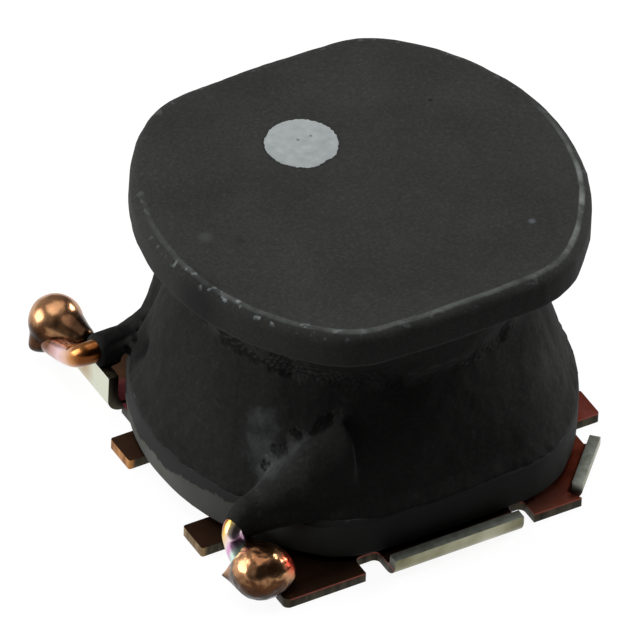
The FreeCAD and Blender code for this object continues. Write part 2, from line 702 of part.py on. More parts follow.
def teardrop(sketch, radius, root_height, tip_distance, tip_radius):
    # Half of a round drop that runs out to a blunt beak along the sketch's first axis.
    r = value(radius)
    root = value(root_height)
    tip = value(tip_distance)
    blunt = value(tip_radius)
    start = V(math.sqrt(r * r - root * root), root, 0)
    sketch.addGeometry(Part.ArcOfCircle(Part.Circle(V(), Z_UP, r), math.asin(root / r), math.pi), False)
    sketch.addGeometry(Part.LineSegment(start, V(tip, blunt, 0)), False)
    sketch.addGeometry(Part.LineSegment(V(tip, blunt, 0), V(tip, 0, 0)), False)
    sketch.addGeometry(Part.LineSegment(V(tip, 0, 0), V(-r, 0, 0)), False)
    sketch.addConstraint(Sketcher.Constraint("Coincident", 0, 3, -1, 1))
    for first, first_end, last, last_end in ((0, 1, 1, 1), (1, 2, 2, 1), (2, 2, 3, 1), (3, 2, 0, 2)):
        sketch.addConstraint(Sketcher.Constraint("Coincident", first, first_end, last, last_end))
    sketch.addConstraint(Sketcher.Constraint("PointOnObject", 0, 2, -1))
    sketch.addConstraint(Sketcher.Constraint("PointOnObject", 2, 2, -1))
    sketch.addConstraint(Sketcher.Constraint("Vertical", 2))
    place = sketch.addConstraint(Sketcher.Constraint("Radius", 0, r))
    sketch.setExpression("Constraints[%d]" % place, formula(radius))
    for kind, index, text, number in (("DistanceY", 1, root_height, root), ("DistanceX", 2, tip_distance, tip),
                                      ("DistanceY", 2, tip_radius, blunt)):
        place = sketch.addConstraint(Sketcher.Constraint(kind, -1, 1, index, 1, number))
        sketch.setExpression("Constraints[%d]" % place, formula(text))


# Weld beads: a round drop of melted metal with a beak where the wire ended
beads = {}
for word, side in (("start", 1), ("finish", -1)):
    centre = V(-value(arm_reach), side * value(bead_place[word]), value("{%s_bead_z}" % word))
    reach = V(-value("{%s_beak_out}" % word), side * value("{%s_beak_along}" % word),
              -value("{%s_beak_down}" % word))
    beak_tip = "sqrt({%s_beak_out} * {%s_beak_out} + {%s_beak_along} * {%s_beak_along} + {%s_beak_down} * {%s_beak_down})"
    beak_tip = beak_tip.replace("%s", word)
    drop = body_named("drop_" + word)
    profile = sketch_on(drop, "drop_profile_" + word, "XZ_Plane")
    teardrop(profile, "{%s_bead_radius}" % word, "{beak_root_height}", beak_tip, "{beak_tip_radius}")
    round_drop = drop.newObject("PartDesign::Revolution", "round_drop_" + word)
    round_drop.Profile = profile
    round_drop.ReferenceAxis = (profile, ["H_Axis"])
    round_drop.Angle = 360
    drop.Placement = FreeCAD.Placement(centre, FreeCAD.Rotation(V(1, 0, 0), reach))
    inside = doc.addObject("Part::MultiFuse", "weld_relief_" + word)
    inside.Shapes = [terminals[word], winding, resin]
    inside.Refine = False
    bead = doc.addObject("Part::Cut", "weld_" + word)
    bead.Label = "weld_" + word
    bead.Base = drop
    bead.Tool = inside
    bead.Refine = False
    beads[word] = bead
doc.recompute()

# Adhesive between each plate and the drum
glues = {}
for word, sign in (("start", ""), ("finish", "-")):
    glue = body_named("adhesive_" + word)
    glue_outline = sketch_on(glue, "glue_outline_" + word, "XY_Plane", z="{sheet_thickness}")
    near = "%s(%s + {glue_margin})" % (sign, inner_edge[word])
    far = "%s{glue_reach}" % sign
    polygon(glue_outline, [("-{glue_length} / 2", near), ("{glue_length} / 2", near), ("{glue_length} / 2", far),
                           ("-{glue_length} / 2", far)])
    pad(glue, "glue_layer_" + word, glue_outline, "{glue_thickness}")
    glues[word] = glue

# Printed polarity dot
dot = body_named("polarity_dot")
dot_outline = sketch_on(dot, "dot_outline", "XY_Plane", z=top_face)
circle(dot_outline, "{dot_x}", "{dot_y}", "{dot_radius}")
pad(dot, "dot_ink", dot_outline, "{dot_thickness}")
doc.recompute()

pieces = [core, winding, resin, terminals["start"], terminals["finish"], beads["start"], beads["finish"],
          glues["start"], glues["finish"], dot]
for item in doc.Objects:
    for word in ("Invalid", "Error"):
        if word in item.State:
            raise RuntimeError("%s is %s" % (item.Label, word))
for piece in pieces:
    if piece.Shape.isNull() or not piece.Shape.isValid() or len(piece.Shape.Solids) != 1:
        raise RuntimeError("%s is not one valid solid" % piece.Label)
os.makedirs("parts", exist_ok=True)
for piece in pieces:
    piece.Shape.exportStep("parts/%s.step" % piece.Label)
    print("%-18s volume %8.3f" % (piece.Label, piece.Shape.Volume))
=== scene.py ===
import bpy
import math
from mathutils import Matrix, Vector, noise


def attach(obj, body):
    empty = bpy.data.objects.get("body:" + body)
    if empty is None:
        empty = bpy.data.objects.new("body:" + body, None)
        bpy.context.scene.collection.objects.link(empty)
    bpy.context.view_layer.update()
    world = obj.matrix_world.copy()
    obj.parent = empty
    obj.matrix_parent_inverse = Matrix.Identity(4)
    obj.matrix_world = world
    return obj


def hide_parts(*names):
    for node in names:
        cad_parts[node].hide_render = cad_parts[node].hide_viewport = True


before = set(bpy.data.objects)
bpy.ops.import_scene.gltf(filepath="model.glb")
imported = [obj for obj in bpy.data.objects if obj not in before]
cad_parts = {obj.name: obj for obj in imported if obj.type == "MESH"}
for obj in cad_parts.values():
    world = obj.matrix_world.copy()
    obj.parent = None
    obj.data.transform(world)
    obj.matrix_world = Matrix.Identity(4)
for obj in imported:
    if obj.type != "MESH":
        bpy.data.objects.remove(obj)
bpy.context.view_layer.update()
bpy.context.scene.view_settings.view_transform = "Standard"

# The camera stands where the photograph was taken from: in front and to the left of the
# part, well above it, with a long lens and a slight roll.
mm = 0.001
azimuth = math.radians(-30.886)
elevation = math.radians(40.818)
roll = math.radians(2.311)
distance = 500
framed_left = 0.615
framed_up = 1.727
towards_camera = Vector((math.sin(azimuth) * math.cos(elevation), -math.cos(azimuth) * math.cos(elevation),
                         math.sin(elevation)))
level_right = Vector((math.cos(azimuth), math.sin(azimuth), 0))
level_up = towards_camera.cross(level_right)
camera_right = level_right * math.cos(roll) + level_up * math.sin(roll)
camera_up = level_up * math.cos(roll) - level_right * math.sin(roll)
camera_place = (towards_camera * distance - level_right * framed_left + level_up * framed_up) * mm
bpy.ops.object.camera_add()
camera = bpy.context.object
camera.name = "photo_camera"
camera.data.sensor_width = 36
camera.data.lens = 1597.6
turned = Matrix((camera_right, camera_up, towards_camera)).transposed()
camera.matrix_world = Matrix.Translation(camera_place) @ turned.to_4x4()
bpy.context.scene.camera = camera

# The studio is a card under the part that only the camera and the metal see as white. A large
# lamp stands low on the left, one hangs above and a weak one is on the right, so the near side stays dark.
bpy.ops.object.select_all(action="DESELECT")
bpy.ops.mesh.primitive_plane_add(size=600 * mm)
card = bpy.context.object
card.name = "white_card"


def linear(code):
    # sRGB hex to a linear colour
    parts = [int(code[i:i + 2], 16) / 255 for i in (1, 3, 5)]
    return [p / 12.92 if p <= 0.04045 else ((p + 0.055) / 1.055) ** 2.4 for p in parts] + [1.0]


def finish_named(name):
    # An empty procedural material
    material = bpy.data.materials.new(name)
    material.use_nodes = True
    material.node_tree.nodes.clear()
    return material


def add(material, kind, settings=None, **sockets):
    # Adds one shader node. A setting is one of its own options, or the stops of a colour ramp.
    # A socket, by name or counted as n0, takes a value, a node's output, or a node for its first output.
    node = material.node_tree.nodes.new(kind)
    for option, value in (settings or {}).items():
        if option == "stops":
            while len(node.color_ramp.elements) < len(value):
                node.color_ramp.elements.new(0.5)
            for element, (place, code) in zip(node.color_ramp.elements, value):
                element.position = place
                element.color = linear(code)
        else:
            setattr(node, option, value)
    for socket, value in sockets.items():
        place = int(socket[1:]) if socket[0] == "n" and socket[1:].isdigit() else socket.replace("_", " ")
        if isinstance(value, bpy.types.Node):
            value = next(output for output in value.outputs if output.enabled)
        if isinstance(value, bpy.types.NodeSocket):
            material.node_tree.links.new(value, node.inputs[place])
        else:
            node.inputs[place].default_value = value
    return node


def repeats(size):
    # The scale of a pattern whose grain has this size in millimetres
    return 1 / (size * mm)


card_finish = finish_named("matt_white_card")
card_fibres = add(card_finish, "ShaderNodeTexNoise", Scale=repeats(1.1111), Detail=4.0)
card_colour = add(card_finish, "ShaderNodeValToRGB", {"stops": ((0.3, "#5E5E5E"), (0.7, "#646464"))},
                  Fac=card_fibres)
card_paint = add(card_finish, "ShaderNodeBsdfDiffuse", Color=card_colour)
card_ray = add(card_finish, "ShaderNodeLightPath")
card_mirrored = add(card_finish, "ShaderNodeMath", {"operation": "MAXIMUM"},
                    n0=card_ray.outputs["Is Glossy Ray"], n1=card_ray.outputs["Is Transmission Ray"])
card_seen = add(card_finish, "ShaderNodeMath", {"operation": "MAXIMUM"}, n0=card_ray.outputs["Is Camera Ray"],
                n1=card_mirrored)
card_lift = add(card_finish, "ShaderNodeMath", {"operation": "MULTIPLY"}, n0=card_seen, n1=0.93)
card_glow = add(card_finish, "ShaderNodeEmission", Color=linear("#FFFFFF"), Strength=card_lift)
card_white = add(card_finish, "ShaderNodeAddShader", n0=card_paint, n1=card_glow)
add(card_finish, "ShaderNodeOutputMaterial", Surface=card_white)
card.data.materials.append(card_finish)

world = bpy.data.worlds.new("white_room")
bpy.context.scene.world = world
world.use_nodes = True
world.node_tree.nodes.clear()
room_place = add(world, "ShaderNodeTexCoord")
room_side = add(world, "ShaderNodeVectorMath", {"operation": "DOT_PRODUCT"},
                n0=room_place.outputs["Generated"], n1=(-0.52, 0.83, 0.2))
room_shade = add(world, "ShaderNodeMapRange", Value=room_side, From_Min=-0.15, From_Max=0.9, To_Min=0.015,
                 To_Max=0.42)
room_wall = add(world, "ShaderNodeBackground", Color=linear("#FFFFFF"), Strength=room_shade)
add(world, "ShaderNodeOutputWorld", Surface=room_wall)


def soft_lamp(name, place, size, power):
    # A square lamp that points at the middle of the part, with its place and size in millimetres
    bpy.ops.object.light_add(type="AREA", location=[p * mm for p in place])
    lamp = bpy.context.object
    lamp.name = name
    lamp.data.size = size * mm
    lamp.data.energy = power
    aim = Vector((0, 0, 2.5 * mm)) - lamp.location
    lamp.rotation_euler = aim.to_track_quat("-Z", "Y").to_euler()
    return lamp


soft_lamp("window_lamp", (-185, 112, 62), 150, 0.37)
soft_lamp("top_lamp", (10, 40, 260), 280, 0.4)
soft_lamp("edge_lamp", (190, 10, 80), 60, 0.26)

# The drum core is one sintered ferrite part, ground flat on top. Its two flanges are discs with
# two flattened sides. Their rims are tumbled round and chipped; the thin light line on them is partly
# wear, partly a painted highlight.
drum_side_radius = 23.7
drum_corner_radius = 1.745
drum_end_swell = 0.635
rim_bevel_steps = 7
slow_waves = 1900  # to the metre
quick_waves = 5200


def only(piece):
    # Selects one object and nothing else
    if bpy.context.object and bpy.context.object.mode != "OBJECT":
        bpy.ops.object.mode_set(mode="OBJECT")
    bpy.ops.object.select_all(action="DESELECT")
    piece.select_set(True)
    bpy.context.view_layer.objects.active = piece


def settle(piece):
    # Puts a finished piece's place into its mesh
    only(piece)
    bpy.ops.object.transform_apply(location=True, rotation=True, scale=True)


def flange(name, length, width, bottom, top, top_round, foot_round, wave):
    # A plate with an outline of eight tangent arcs, raised from a closed curve and rounded along its rims
    end_radius = width / 2 + drum_end_swell
    end_x = length / 2 - end_radius
    side_y = width / 2 - drum_side_radius
    span = math.hypot(end_x, side_y)
    end_gap = end_radius - drum_corner_radius
    side_gap = drum_side_radius - drum_corner_radius
    along = (end_gap ** 2 - side_gap ** 2 + span ** 2) / (2 * span)
    off = math.sqrt(end_gap ** 2 - along ** 2)
    corner_x = end_x - end_x / span * along - side_y / span * off
    corner_y = side_y / span * along - end_x / span * off
    corner_x, corner_y = abs(corner_x), abs(corner_y)
    end_turn = math.atan2(corner_y, corner_x - end_x)
    side_turn = math.pi / 2 - math.atan2(corner_y - side_y, corner_x)
    bpy.ops.object.select_all(action="DESELECT")
    bpy.ops.curve.primitive_bezier_circle_add(radius=4 * mm, location=(0, 0, 0))
    plate = bpy.context.object
    plate.name = name
    bpy.ops.object.mode_set(mode="EDIT")
    bpy.ops.curve.select_all(action="SELECT")
    bpy.ops.curve.subdivide()
    bpy.ops.curve.handle_type_set(type="FREE_ALIGN")
    bpy.ops.object.mode_set(mode="OBJECT")
    stations = []
    for quarter in range(4):
        middle = quarter * math.pi / 2
        spread = end_turn if quarter % 2 == 0 else side_turn
        radius = end_radius if quarter % 2 == 0 else drum_side_radius
        reach = (length if quarter % 2 == 0 else width) / 2 - radius
        centre = Vector((reach * math.cos(middle), reach * math.sin(middle), 0))
        for turn in (-spread, spread):
            stations.append((centre, radius, middle + turn, turn < 0, 2 * spread))
    blend = math.pi / 2 - end_turn - side_turn
    for point, (centre, radius, angle, first, sweep) in zip(plate.data.splines[0].bezier_points, stations):
        outward = Vector((math.cos(angle), math.sin(angle), 0))
        forward = Vector((-math.sin(angle), math.cos(angle), 0))
        wide_reach = 4 / 3 * math.tan(sweep / 4) * radius
        corner_reach = 4 / 3 * math.tan(blend / 4) * drum_corner_radius
        point.co = (centre + outward * radius) * mm
        point.handle_left = point.co - forward * (corner_reach if first else wide_reach) * mm
        point.handle_right = point.co + forward * (wide_reach if first else corner_reach) * mm
    plate.data.dimensions = "2D"
    plate.data.fill_mode = "NONE"
    plate.data.resolution_u = 40
    only(plate)
    bpy.ops.object.convert(target="MESH")
    plate = bpy.context.object
    plate.location = (0, 0, bottom * mm)
    settle(plate)
    bpy.ops.object.mode_set(mode="EDIT")
    bpy.ops.mesh.select_all(action="SELECT")
    bpy.ops.mesh.remove_doubles(threshold=0.001 * mm)
    bpy.ops.mesh.edge_face_add()
    bpy.ops.mesh.extrude_region_move(TRANSFORM_OT_translate={"value": (0, 0, (top - bottom) * mm)})
    for height, softness in ((top, top_round), (bottom, foot_round)):
        bpy.ops.mesh.select_all(action="DESELECT")
        bpy.ops.object.mode_set(mode="OBJECT")
        for edge in plate.data.edges:
            ends = [plate.data.vertices[v].co.z for v in edge.vertices]
            edge.select = max(abs(z - height * mm) for z in ends) < 0.001 * mm
        bpy.ops.object.mode_set(mode="EDIT")
        bpy.ops.mesh.select_mode(type="EDGE")
        bpy.ops.mesh.bevel(offset=softness * mm, segments=rim_bevel_steps, profile=0.5, affect="EDGES")
    bpy.ops.mesh.select_all(action="SELECT")
    bpy.ops.mesh.normals_make_consistent(inside=False)
    bpy.ops.object.mode_set(mode="OBJECT")
    for vertex in plate.data.vertices:
        flat = Vector((vertex.co.x, vertex.co.y, 0))
        swell = noise.noise(vertex.co * slow_waves)
        swell += 0.6 * noise.noise(vertex.co * quick_waves + Vector((3, 1, 2)))
        vertex.co += flat.normalized() * swell * wave * mm
    return plate


top_flange = flange("top_flange", length=8.0, width=7.45, bottom=4.718, top=5.455, top_round=0.24,
                    foot_round=0.13, wave=0.017)
foot_flange = flange("foot_flange", length=7.86, width=7.32, bottom=0.28, top=1.14, top_round=0.1,
                     foot_round=0.1, wave=0.014)
window_middle = 2.93
bpy.ops.mesh.primitive_cylinder_add(vertices=96, radius=1.55 * mm, depth=3.6 * mm,
                                    location=(0, 0, window_middle * mm))
post = bpy.context.object
post.name = "post"
settle(post)
only(top_flange)
foot_flange.select_set(True)
post.select_set(True)
bpy.ops.object.join()
drum = bpy.context.object
drum.name = "ferrite_drum"
bpy.ops.object.shade_smooth_by_angle(angle=math.radians(28))


def mark(material, spot, colour, centre, inner, outer, code, strength, fray=None, depth=0.0, ramp="LINEAR"):
    # Lays another colour round one place: full within the inner reach, gone at the outer one, in millimetres.
    # A pattern may fray its edge to a depth.
    away = add(material, "ShaderNodeVectorMath", {"operation": "DISTANCE"}, n0=spot,
               n1=[c * mm for c in centre])
    if fray is not None:
        away = add(material, "ShaderNodeMath", {"operation": "MULTIPLY_ADD"}, n0=fray, n1=depth * mm, n2=away)
    share = add(material, "ShaderNodeMapRange", {"interpolation_type": ramp}, Value=away, From_Min=inner * mm,
                From_Max=outer * mm, To_Min=strength, To_Max=0.0)
    return add(material, "ShaderNodeMix", {"data_type": "RGBA"}, Factor=share, n6=colour, n7=linear(code))


# Sintered nickel-zinc ferrite, tumbled and ground: a dull dark grey ceramic with a fine salt of
# grains. Its rims are lighter grey, partly worn and partly a painted highlight, with small chips. The
# grain is drawn coarse to show.
ferrite = finish_named("sintered_ferrite")
ferrite_place = add(ferrite, "ShaderNodeTexCoord")
spot = ferrite_place.outputs["Object"]
grains = add(ferrite, "ShaderNodeTexNoise", Vector=spot, Scale=repeats(0.0625), Detail=3.0, Roughness=0.7)
clouds = add(ferrite, "ShaderNodeTexNoise", Vector=spot, Scale=repeats(1.4286), Detail=4.0)
grain_colour = add(ferrite, "ShaderNodeValToRGB",
                   {"stops": ((0.3, "#2B2C2A"), (0.55, "#333432"), (0.8, "#434440"))}, Fac=grains)
cloud_colour = add(ferrite, "ShaderNodeValToRGB", {"stops": ((0.3, "#DCDCDC"), (0.7, "#FFFFFF"))}, Fac=clouds)
ferrite_colour = add(ferrite, "ShaderNodeMix", {"data_type": "RGBA", "blend_type": "MULTIPLY"}, Factor=1.0,
                     n6=grain_colour, n7=cloud_colour)
# The rim's round is picked by how far it faces up, and made lighter on the near side and the right
# corner: partly wear, partly a painted highlight line
facing = add(ferrite, "ShaderNodeSeparateXYZ", Vector=ferrite_place.outputs["Normal"])
rim_inner = add(ferrite, "ShaderNodeMapRange", {"interpolation_type": "SMOOTHSTEP"},
                Value=facing.outputs["Z"], From_Min=0.84, From_Max=0.95)
rim_outer = add(ferrite, "ShaderNodeMapRange", {"interpolation_type": "SMOOTHSTEP"},
                Value=facing.outputs["Z"], From_Min=0.988, From_Max=0.9995, To_Min=1.0, To_Max=0.0)
rim_band = add(ferrite, "ShaderNodeMath", {"operation": "MULTIPLY"}, n0=rim_inner, n1=rim_outer)
rub = add(ferrite, "ShaderNodeTexNoise", Vector=spot, Scale=repeats(0.6667), Detail=5.0, Roughness=0.65)
rub_share = add(ferrite, "ShaderNodeMapRange", Value=rub, From_Min=0.32, From_Max=0.6)
rim_highlight_and_rub_mask = add(ferrite, "ShaderNodeMath", {"operation": "MULTIPLY"}, n0=rim_band, n1=rub_share)
near_side = add(ferrite, "ShaderNodeVectorMath", {"operation": "DOT_PRODUCT"}, n0=spot,
                n1=(-0.15, -1.0, 0.42))
near_wear_and_highlight = add(ferrite, "ShaderNodeMapRange", Value=near_side, From_Min=0.9 * mm, From_Max=4.2 * mm,
                To_Min=0.0, To_Max=0.85)
right_corner = add(ferrite, "ShaderNodeVectorMath", {"operation": "DISTANCE"}, n0=spot,
                   n1=(3.5 * mm, -1.6 * mm, 5.4 * mm))
right_wear_and_highlight = add(ferrite, "ShaderNodeMapRange", Value=right_corner, From_Min=0.8 * mm, From_Max=2.2 * mm,
                 To_Min=1.0, To_Max=0.34)
side_wear_and_highlight = add(ferrite, "ShaderNodeMath", {"operation": "MULTIPLY"}, n0=near_wear_and_highlight, n1=right_wear_and_highlight)
worn_and_highlit_share = add(ferrite, "ShaderNodeMath", {"operation": "MULTIPLY"}, n0=rim_highlight_and_rub_mask, n1=side_wear_and_highlight)
# The foot flange keeps a lighter dry skin, laid only on its lit left side so the rest stays dark as
# painted shade. Resin ran over its upper rim with a frayed edge, and its colour also covers the front
# and right of the foot as painted shade.
spot_axes = add(ferrite, "ShaderNodeSeparateXYZ", Vector=spot)
skin_height = add(ferrite, "ShaderNodeMapRange", Value=spot_axes.outputs["Z"], From_Min=1.6 * mm,
                  From_Max=1.2 * mm)
lit_left_side = add(ferrite, "ShaderNodeVectorMath", {"operation": "DOT_PRODUCT"}, n0=spot, n1=(-1.0, 0.35, 0.0))
lit_side_turn = add(ferrite, "ShaderNodeMapRange", Value=lit_left_side, From_Min=0.2 * mm, From_Max=2.0 * mm)
skin_on_lit_side = add(ferrite, "ShaderNodeMath", {"operation": "MULTIPLY"}, n0=skin_height, n1=lit_side_turn)
skin_tone = add(ferrite, "ShaderNodeValToRGB", {"stops": ((0.3, "#474845"), (0.7, "#63645F"))}, Fac=clouds)
skin_colour = add(ferrite, "ShaderNodeMix", {"data_type": "RGBA"}, Factor=skin_on_lit_side, n6=ferrite_colour,
                  n7=skin_tone)
run_side = add(ferrite, "ShaderNodeVectorMath", {"operation": "DOT_PRODUCT"}, n0=spot, n1=(-1.0, 0.85, 0.0))
run_depth = add(ferrite, "ShaderNodeMapRange", Value=run_side, From_Min=1.5 * mm, From_Max=5.2 * mm,
                To_Min=0.04 * mm, To_Max=0.55 * mm)
run_edge = add(ferrite, "ShaderNodeMath", {"operation": "ADD"}, n0=spot_axes.outputs["Z"], n1=run_depth)
run_frayed = add(ferrite, "ShaderNodeMath", {"operation": "MULTIPLY_ADD"}, n0=rub, n1=0.5 * mm, n2=run_edge)
run_share = add(ferrite, "ShaderNodeMapRange", {"interpolation_type": "SMOOTHSTEP"}, Value=run_frayed,
                From_Min=1.27 * mm, From_Max=1.33 * mm)
# The front and right of the foot take the resin's dark colour as painted shade
painted_front_shade = add(ferrite, "ShaderNodeMapRange", Value=lit_left_side, From_Min=2.0 * mm, From_Max=0.2 * mm,
                 To_Max=0.8)
run_and_front_shade = add(ferrite, "ShaderNodeMath", {"operation": "MAXIMUM"}, n0=run_share, n1=painted_front_shade)
low_run_and_front_shade = add(ferrite, "ShaderNodeMath", {"operation": "MULTIPLY"}, n0=run_and_front_shade, n1=skin_height)
resin_run_and_front_shade = add(ferrite, "ShaderNodeMix", {"data_type": "RGBA"}, Factor=low_run_and_front_shade, n6=skin_colour,
                n7=linear("#2A2B2A"))
# The lighter rim grey is partly wear and partly a painted highlight
rubbed_and_highlit = add(ferrite, "ShaderNodeMix", {"data_type": "RGBA"}, Factor=worn_and_highlit_share, n6=resin_run_and_front_shade,
             n7=linear("#8A8F8C"))
# Small chips sit along the top rim's front corner and the foot's front
chip_cells = add(ferrite, "ShaderNodeTexNoise", Vector=spot, Scale=repeats(0.1923), Detail=2.0)
chip_share = add(ferrite, "ShaderNodeMapRange", Value=chip_cells, From_Min=0.6, From_Max=0.66)
chip_line = add(ferrite, "ShaderNodeMapRange", {"interpolation_type": "SMOOTHSTEP"},
                Value=facing.outputs["Z"], From_Min=0.45, From_Max=0.8)
chip_band = add(ferrite, "ShaderNodeMath", {"operation": "MULTIPLY"}, n0=chip_line, n1=rim_outer)
front_corner = add(ferrite, "ShaderNodeVectorMath", {"operation": "DISTANCE"}, n0=spot,
                   n1=(-3.35 * mm, -1.75 * mm, 5.4 * mm))
front_wear = add(ferrite, "ShaderNodeMapRange", Value=front_corner, From_Min=0.9 * mm, From_Max=2.4 * mm,
                 To_Min=1.0, To_Max=0.16)
chip_mask = add(ferrite, "ShaderNodeMath", {"operation": "MULTIPLY"}, n0=chip_band, n1=chip_share)
foot_front = add(ferrite, "ShaderNodeVectorMath", {"operation": "DISTANCE"}, n0=spot,
                 n1=(0.6 * mm, -3.7 * mm, 1.1 * mm))
foot_wear = add(ferrite, "ShaderNodeMapRange", Value=foot_front, From_Min=0.5 * mm, From_Max=2.2 * mm,
                To_Min=0.6, To_Max=0.0)
rim_wear = add(ferrite, "ShaderNodeMath", {"operation": "MAXIMUM"}, n0=front_wear, n1=foot_wear)
chip_worn = add(ferrite, "ShaderNodeMath", {"operation": "MULTIPLY"}, n0=chip_mask, n1=rim_wear)
ferrite_mix = add(ferrite, "ShaderNodeMix", {"data_type": "RGBA"}, Factor=chip_worn, n6=rubbed_and_highlit,
                  n7=linear("#7B8182"))
# A pit, a pale rub, a speck of dust and a faint stain on the top, and a painted shadow under the left rim
marked_and_shaded = ferrite_mix
for centre, reach, code, strength in (((2.197, 1.418, 5.455), 0.075, "#121211", 1.0),
                                      ((-3.11, 0.014, 5.455), 0.16, "#4A4D49", 0.5),
                                      ((2.174, -2.236, 5.455), 0.09, "#62656A", 0.7),
                                      ((-2.6, -0.35, 5.455), 0.14, "#232422", 0.7),
                                      ((-3.93, -1.1, 4.98), 0.56, "#0F100F", 0.9)):
    marked_and_shaded = mark(ferrite, spot, marked_and_shaded, centre, reach * 0.5, reach * 1.3, code, strength,
                  grains, 0.06)
chip_depth = add(ferrite, "ShaderNodeMath", {"operation": "MULTIPLY_ADD"}, n0=chip_mask, n1=-3.0, n2=grains)
ferrite_bump = add(ferrite, "ShaderNodeBump", Strength=0.35, Distance=0.012 * mm, Height=chip_depth)
ferrite_body = add(ferrite, "ShaderNodeBsdfPrincipled", Base_Color=marked_and_shaded, Roughness=0.82, IOR=1.5,
                   Specular_IOR_Level=0.18, Normal=ferrite_bump)
add(ferrite, "ShaderNodeOutputMaterial", Surface=ferrite_body)
drum.data.materials.clear()
drum.data.materials.append(ferrite)
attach(drum, "root")
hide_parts("drum_core")

# The resin coat is epoxy filled with ferrite powder, brushed on between the flanges while wet and
# cured. It pulls up over both lead ends in two fins, and its lower edge is ragged.
lead_offset = 2.62
lead_height = 1.37


def copy_of(node, name):
    # A new object with its own copy of a solid's mesh, merged
    copy = bpy.data.objects.new(name, node.data.copy())
    bpy.context.scene.collection.objects.link(copy)
    only(copy)
    bpy.ops.object.mode_set(mode="EDIT")
    bpy.ops.mesh.select_all(action="SELECT")
    bpy.ops.mesh.remove_doubles(threshold=0.0005 * mm)
    bpy.ops.object.mode_set(mode="OBJECT")
    return copy


def even_out(piece, passes):
    # Smooths a remeshed piece as surface tension does
    smoothing = piece.modifiers.new("even_out", "SMOOTH")
    smoothing.factor = 0.5
    smoothing.iterations = passes
    bpy.ops.object.modifier_apply(modifier=smoothing.name)


coat = copy_of(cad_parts["resin_coat"], "brushed_resin")
# The resin also soaked in round the coil and filled the channels round the leads
bpy.ops.mesh.primitive_cylinder_add(vertices=96, radius=2.6 * mm, depth=3.54 * mm, end_fill_type="NOTHING",
                                    location=(0, 0, window_middle * mm))
bedding = bpy.context.object
settle(bedding)
wall = bedding.modifiers.new("bedding", "SOLIDIFY")
wall.thickness = 0.27 * mm
wall.offset = 1
bpy.ops.object.modifier_apply(modifier=wall.name)
soaks = []
for side in (1, -1):
    bpy.ops.mesh.primitive_cylinder_add(vertices=24, radius=0.24 * mm, depth=1.9 * mm,
                                        location=(-2.4 * mm, side * lead_offset * mm, lead_height * mm),
                                        rotation=(0, math.pi / 2, 0))
    soak = bpy.context.object
    settle(soak)
    soaks.append(soak)
for centre, radius in (((-3.6, -2.63, 1.35), 0.28), ((-3.76, -2.66, 1.28), 0.262), ((-3.44, 2.62, 1.12), 0.3)):
    bpy.ops.mesh.primitive_uv_sphere_add(segments=24, ring_count=12, radius=radius * mm,
                                         location=[c * mm for c in centre])
    drop = bpy.context.object
    settle(drop)
    soaks.append(drop)
only(coat)
for soak in soaks:
    soak.select_set(True)
bpy.ops.object.join()
bpy.ops.object.mode_set(mode="EDIT")
bpy.ops.mesh.select_all(action="SELECT")
bpy.ops.mesh.normals_make_consistent(inside=False)
bpy.ops.object.mode_set(mode="OBJECT")
body_form = bpy.data.objects.new("coat_form", coat.data.copy())
bpy.context.scene.collection.objects.link(body_form)
only(coat)
bedding.select_set(True)
bpy.ops.object.join()
coat.data.remesh_voxel_size = 0.054 * mm
coat.data.remesh_voxel_adaptivity = 0
bpy.ops.object.voxel_remesh()
even_out(coat, 4)
coil_radius = 2.86
outside = coat.vertex_groups.new(name="outside")
outside.add([v.index for v in coat.data.vertices if v.co.xy.length > (coil_radius + 0.03) * mm], 1.0, "REPLACE")
wrap = coat.modifiers.new("true_form", "SHRINKWRAP")
wrap.target = body_form
wrap.vertex_group = outside.name
bpy.ops.object.modifier_apply(modifier=wrap.name)
coat.vertex_groups.clear()
even_out(coat, 16)
bpy.data.objects.remove(body_form)
coat.cycles.shadow_terminator_offset = 0.2
coat.cycles.shadow_terminator_geometry_offset = 0.3

# The brush left the skin lumpy. Its lower edge is thick and ragged, the start fin hugs its sagging
# lead, and there are shallow hollows beside the fins and under the rim.
hollows = (((-3.27, 1.64, 1.6), 0.16, 0.1), ((-3.25, 1.62, 1.78), 0.14, 0.08), ((-3.3, -0.45, 4.3), 0.3, 0.06),
           ((-2.95, -2.0, 1.75), 0.25, 0.04))
lower_edge = 1.42
lead_skin = 0.28
lead_sag = 0.29
fin_reach = 1.15
for vertex in coat.data.vertices:
    place = vertex.co / mm
    flat = Vector((place.x, place.y, 0))
    if flat.length > coil_radius:
        outward = flat.normalized()
        lumps = 0.035 * noise.noise(place * 1.1) + 0.014 * noise.noise(place * 3.4)
        lumps += 0.006 * noise.noise(place * 9)
        edge = min(1, max(0, (lower_edge - place.z) / 0.22))
        drip = 0.09 * noise.noise(place * 2.2 + Vector((4, 0, 0))) + 0.07 * noise.noise(place * 6.5)
        lumps += edge * (0.1 + 0.3 * drip)
        vertex.co.z -= edge * 0.05 * mm
        sag = lead_sag * min(1, max(0, (-2.6 - place.x) / 0.45))
        fin = Vector((0, place.y - lead_offset, place.z - lead_height + sag))
        if place.x < -2 and place.y > 1.8 and lead_skin < fin.length < fin_reach:
            above = min(1, max(0, (fin.z + fin.y + 0.1) / 0.3)) * min(1, (fin_reach - fin.length) / 0.35)
            share = above * 0.6 * math.exp(-((place.x + 3.05) / 0.66) ** 4)
            vertex.co -= fin * min(share, 1 - lead_skin / fin.length) * mm
        for centre, reach, depth in hollows:
            away = (Vector(centre) - place).length / reach
            lumps -= depth * math.exp(-away * away)
        vertex.co += outward * lumps * mm
only(coat)
bpy.ops.object.shade_smooth()
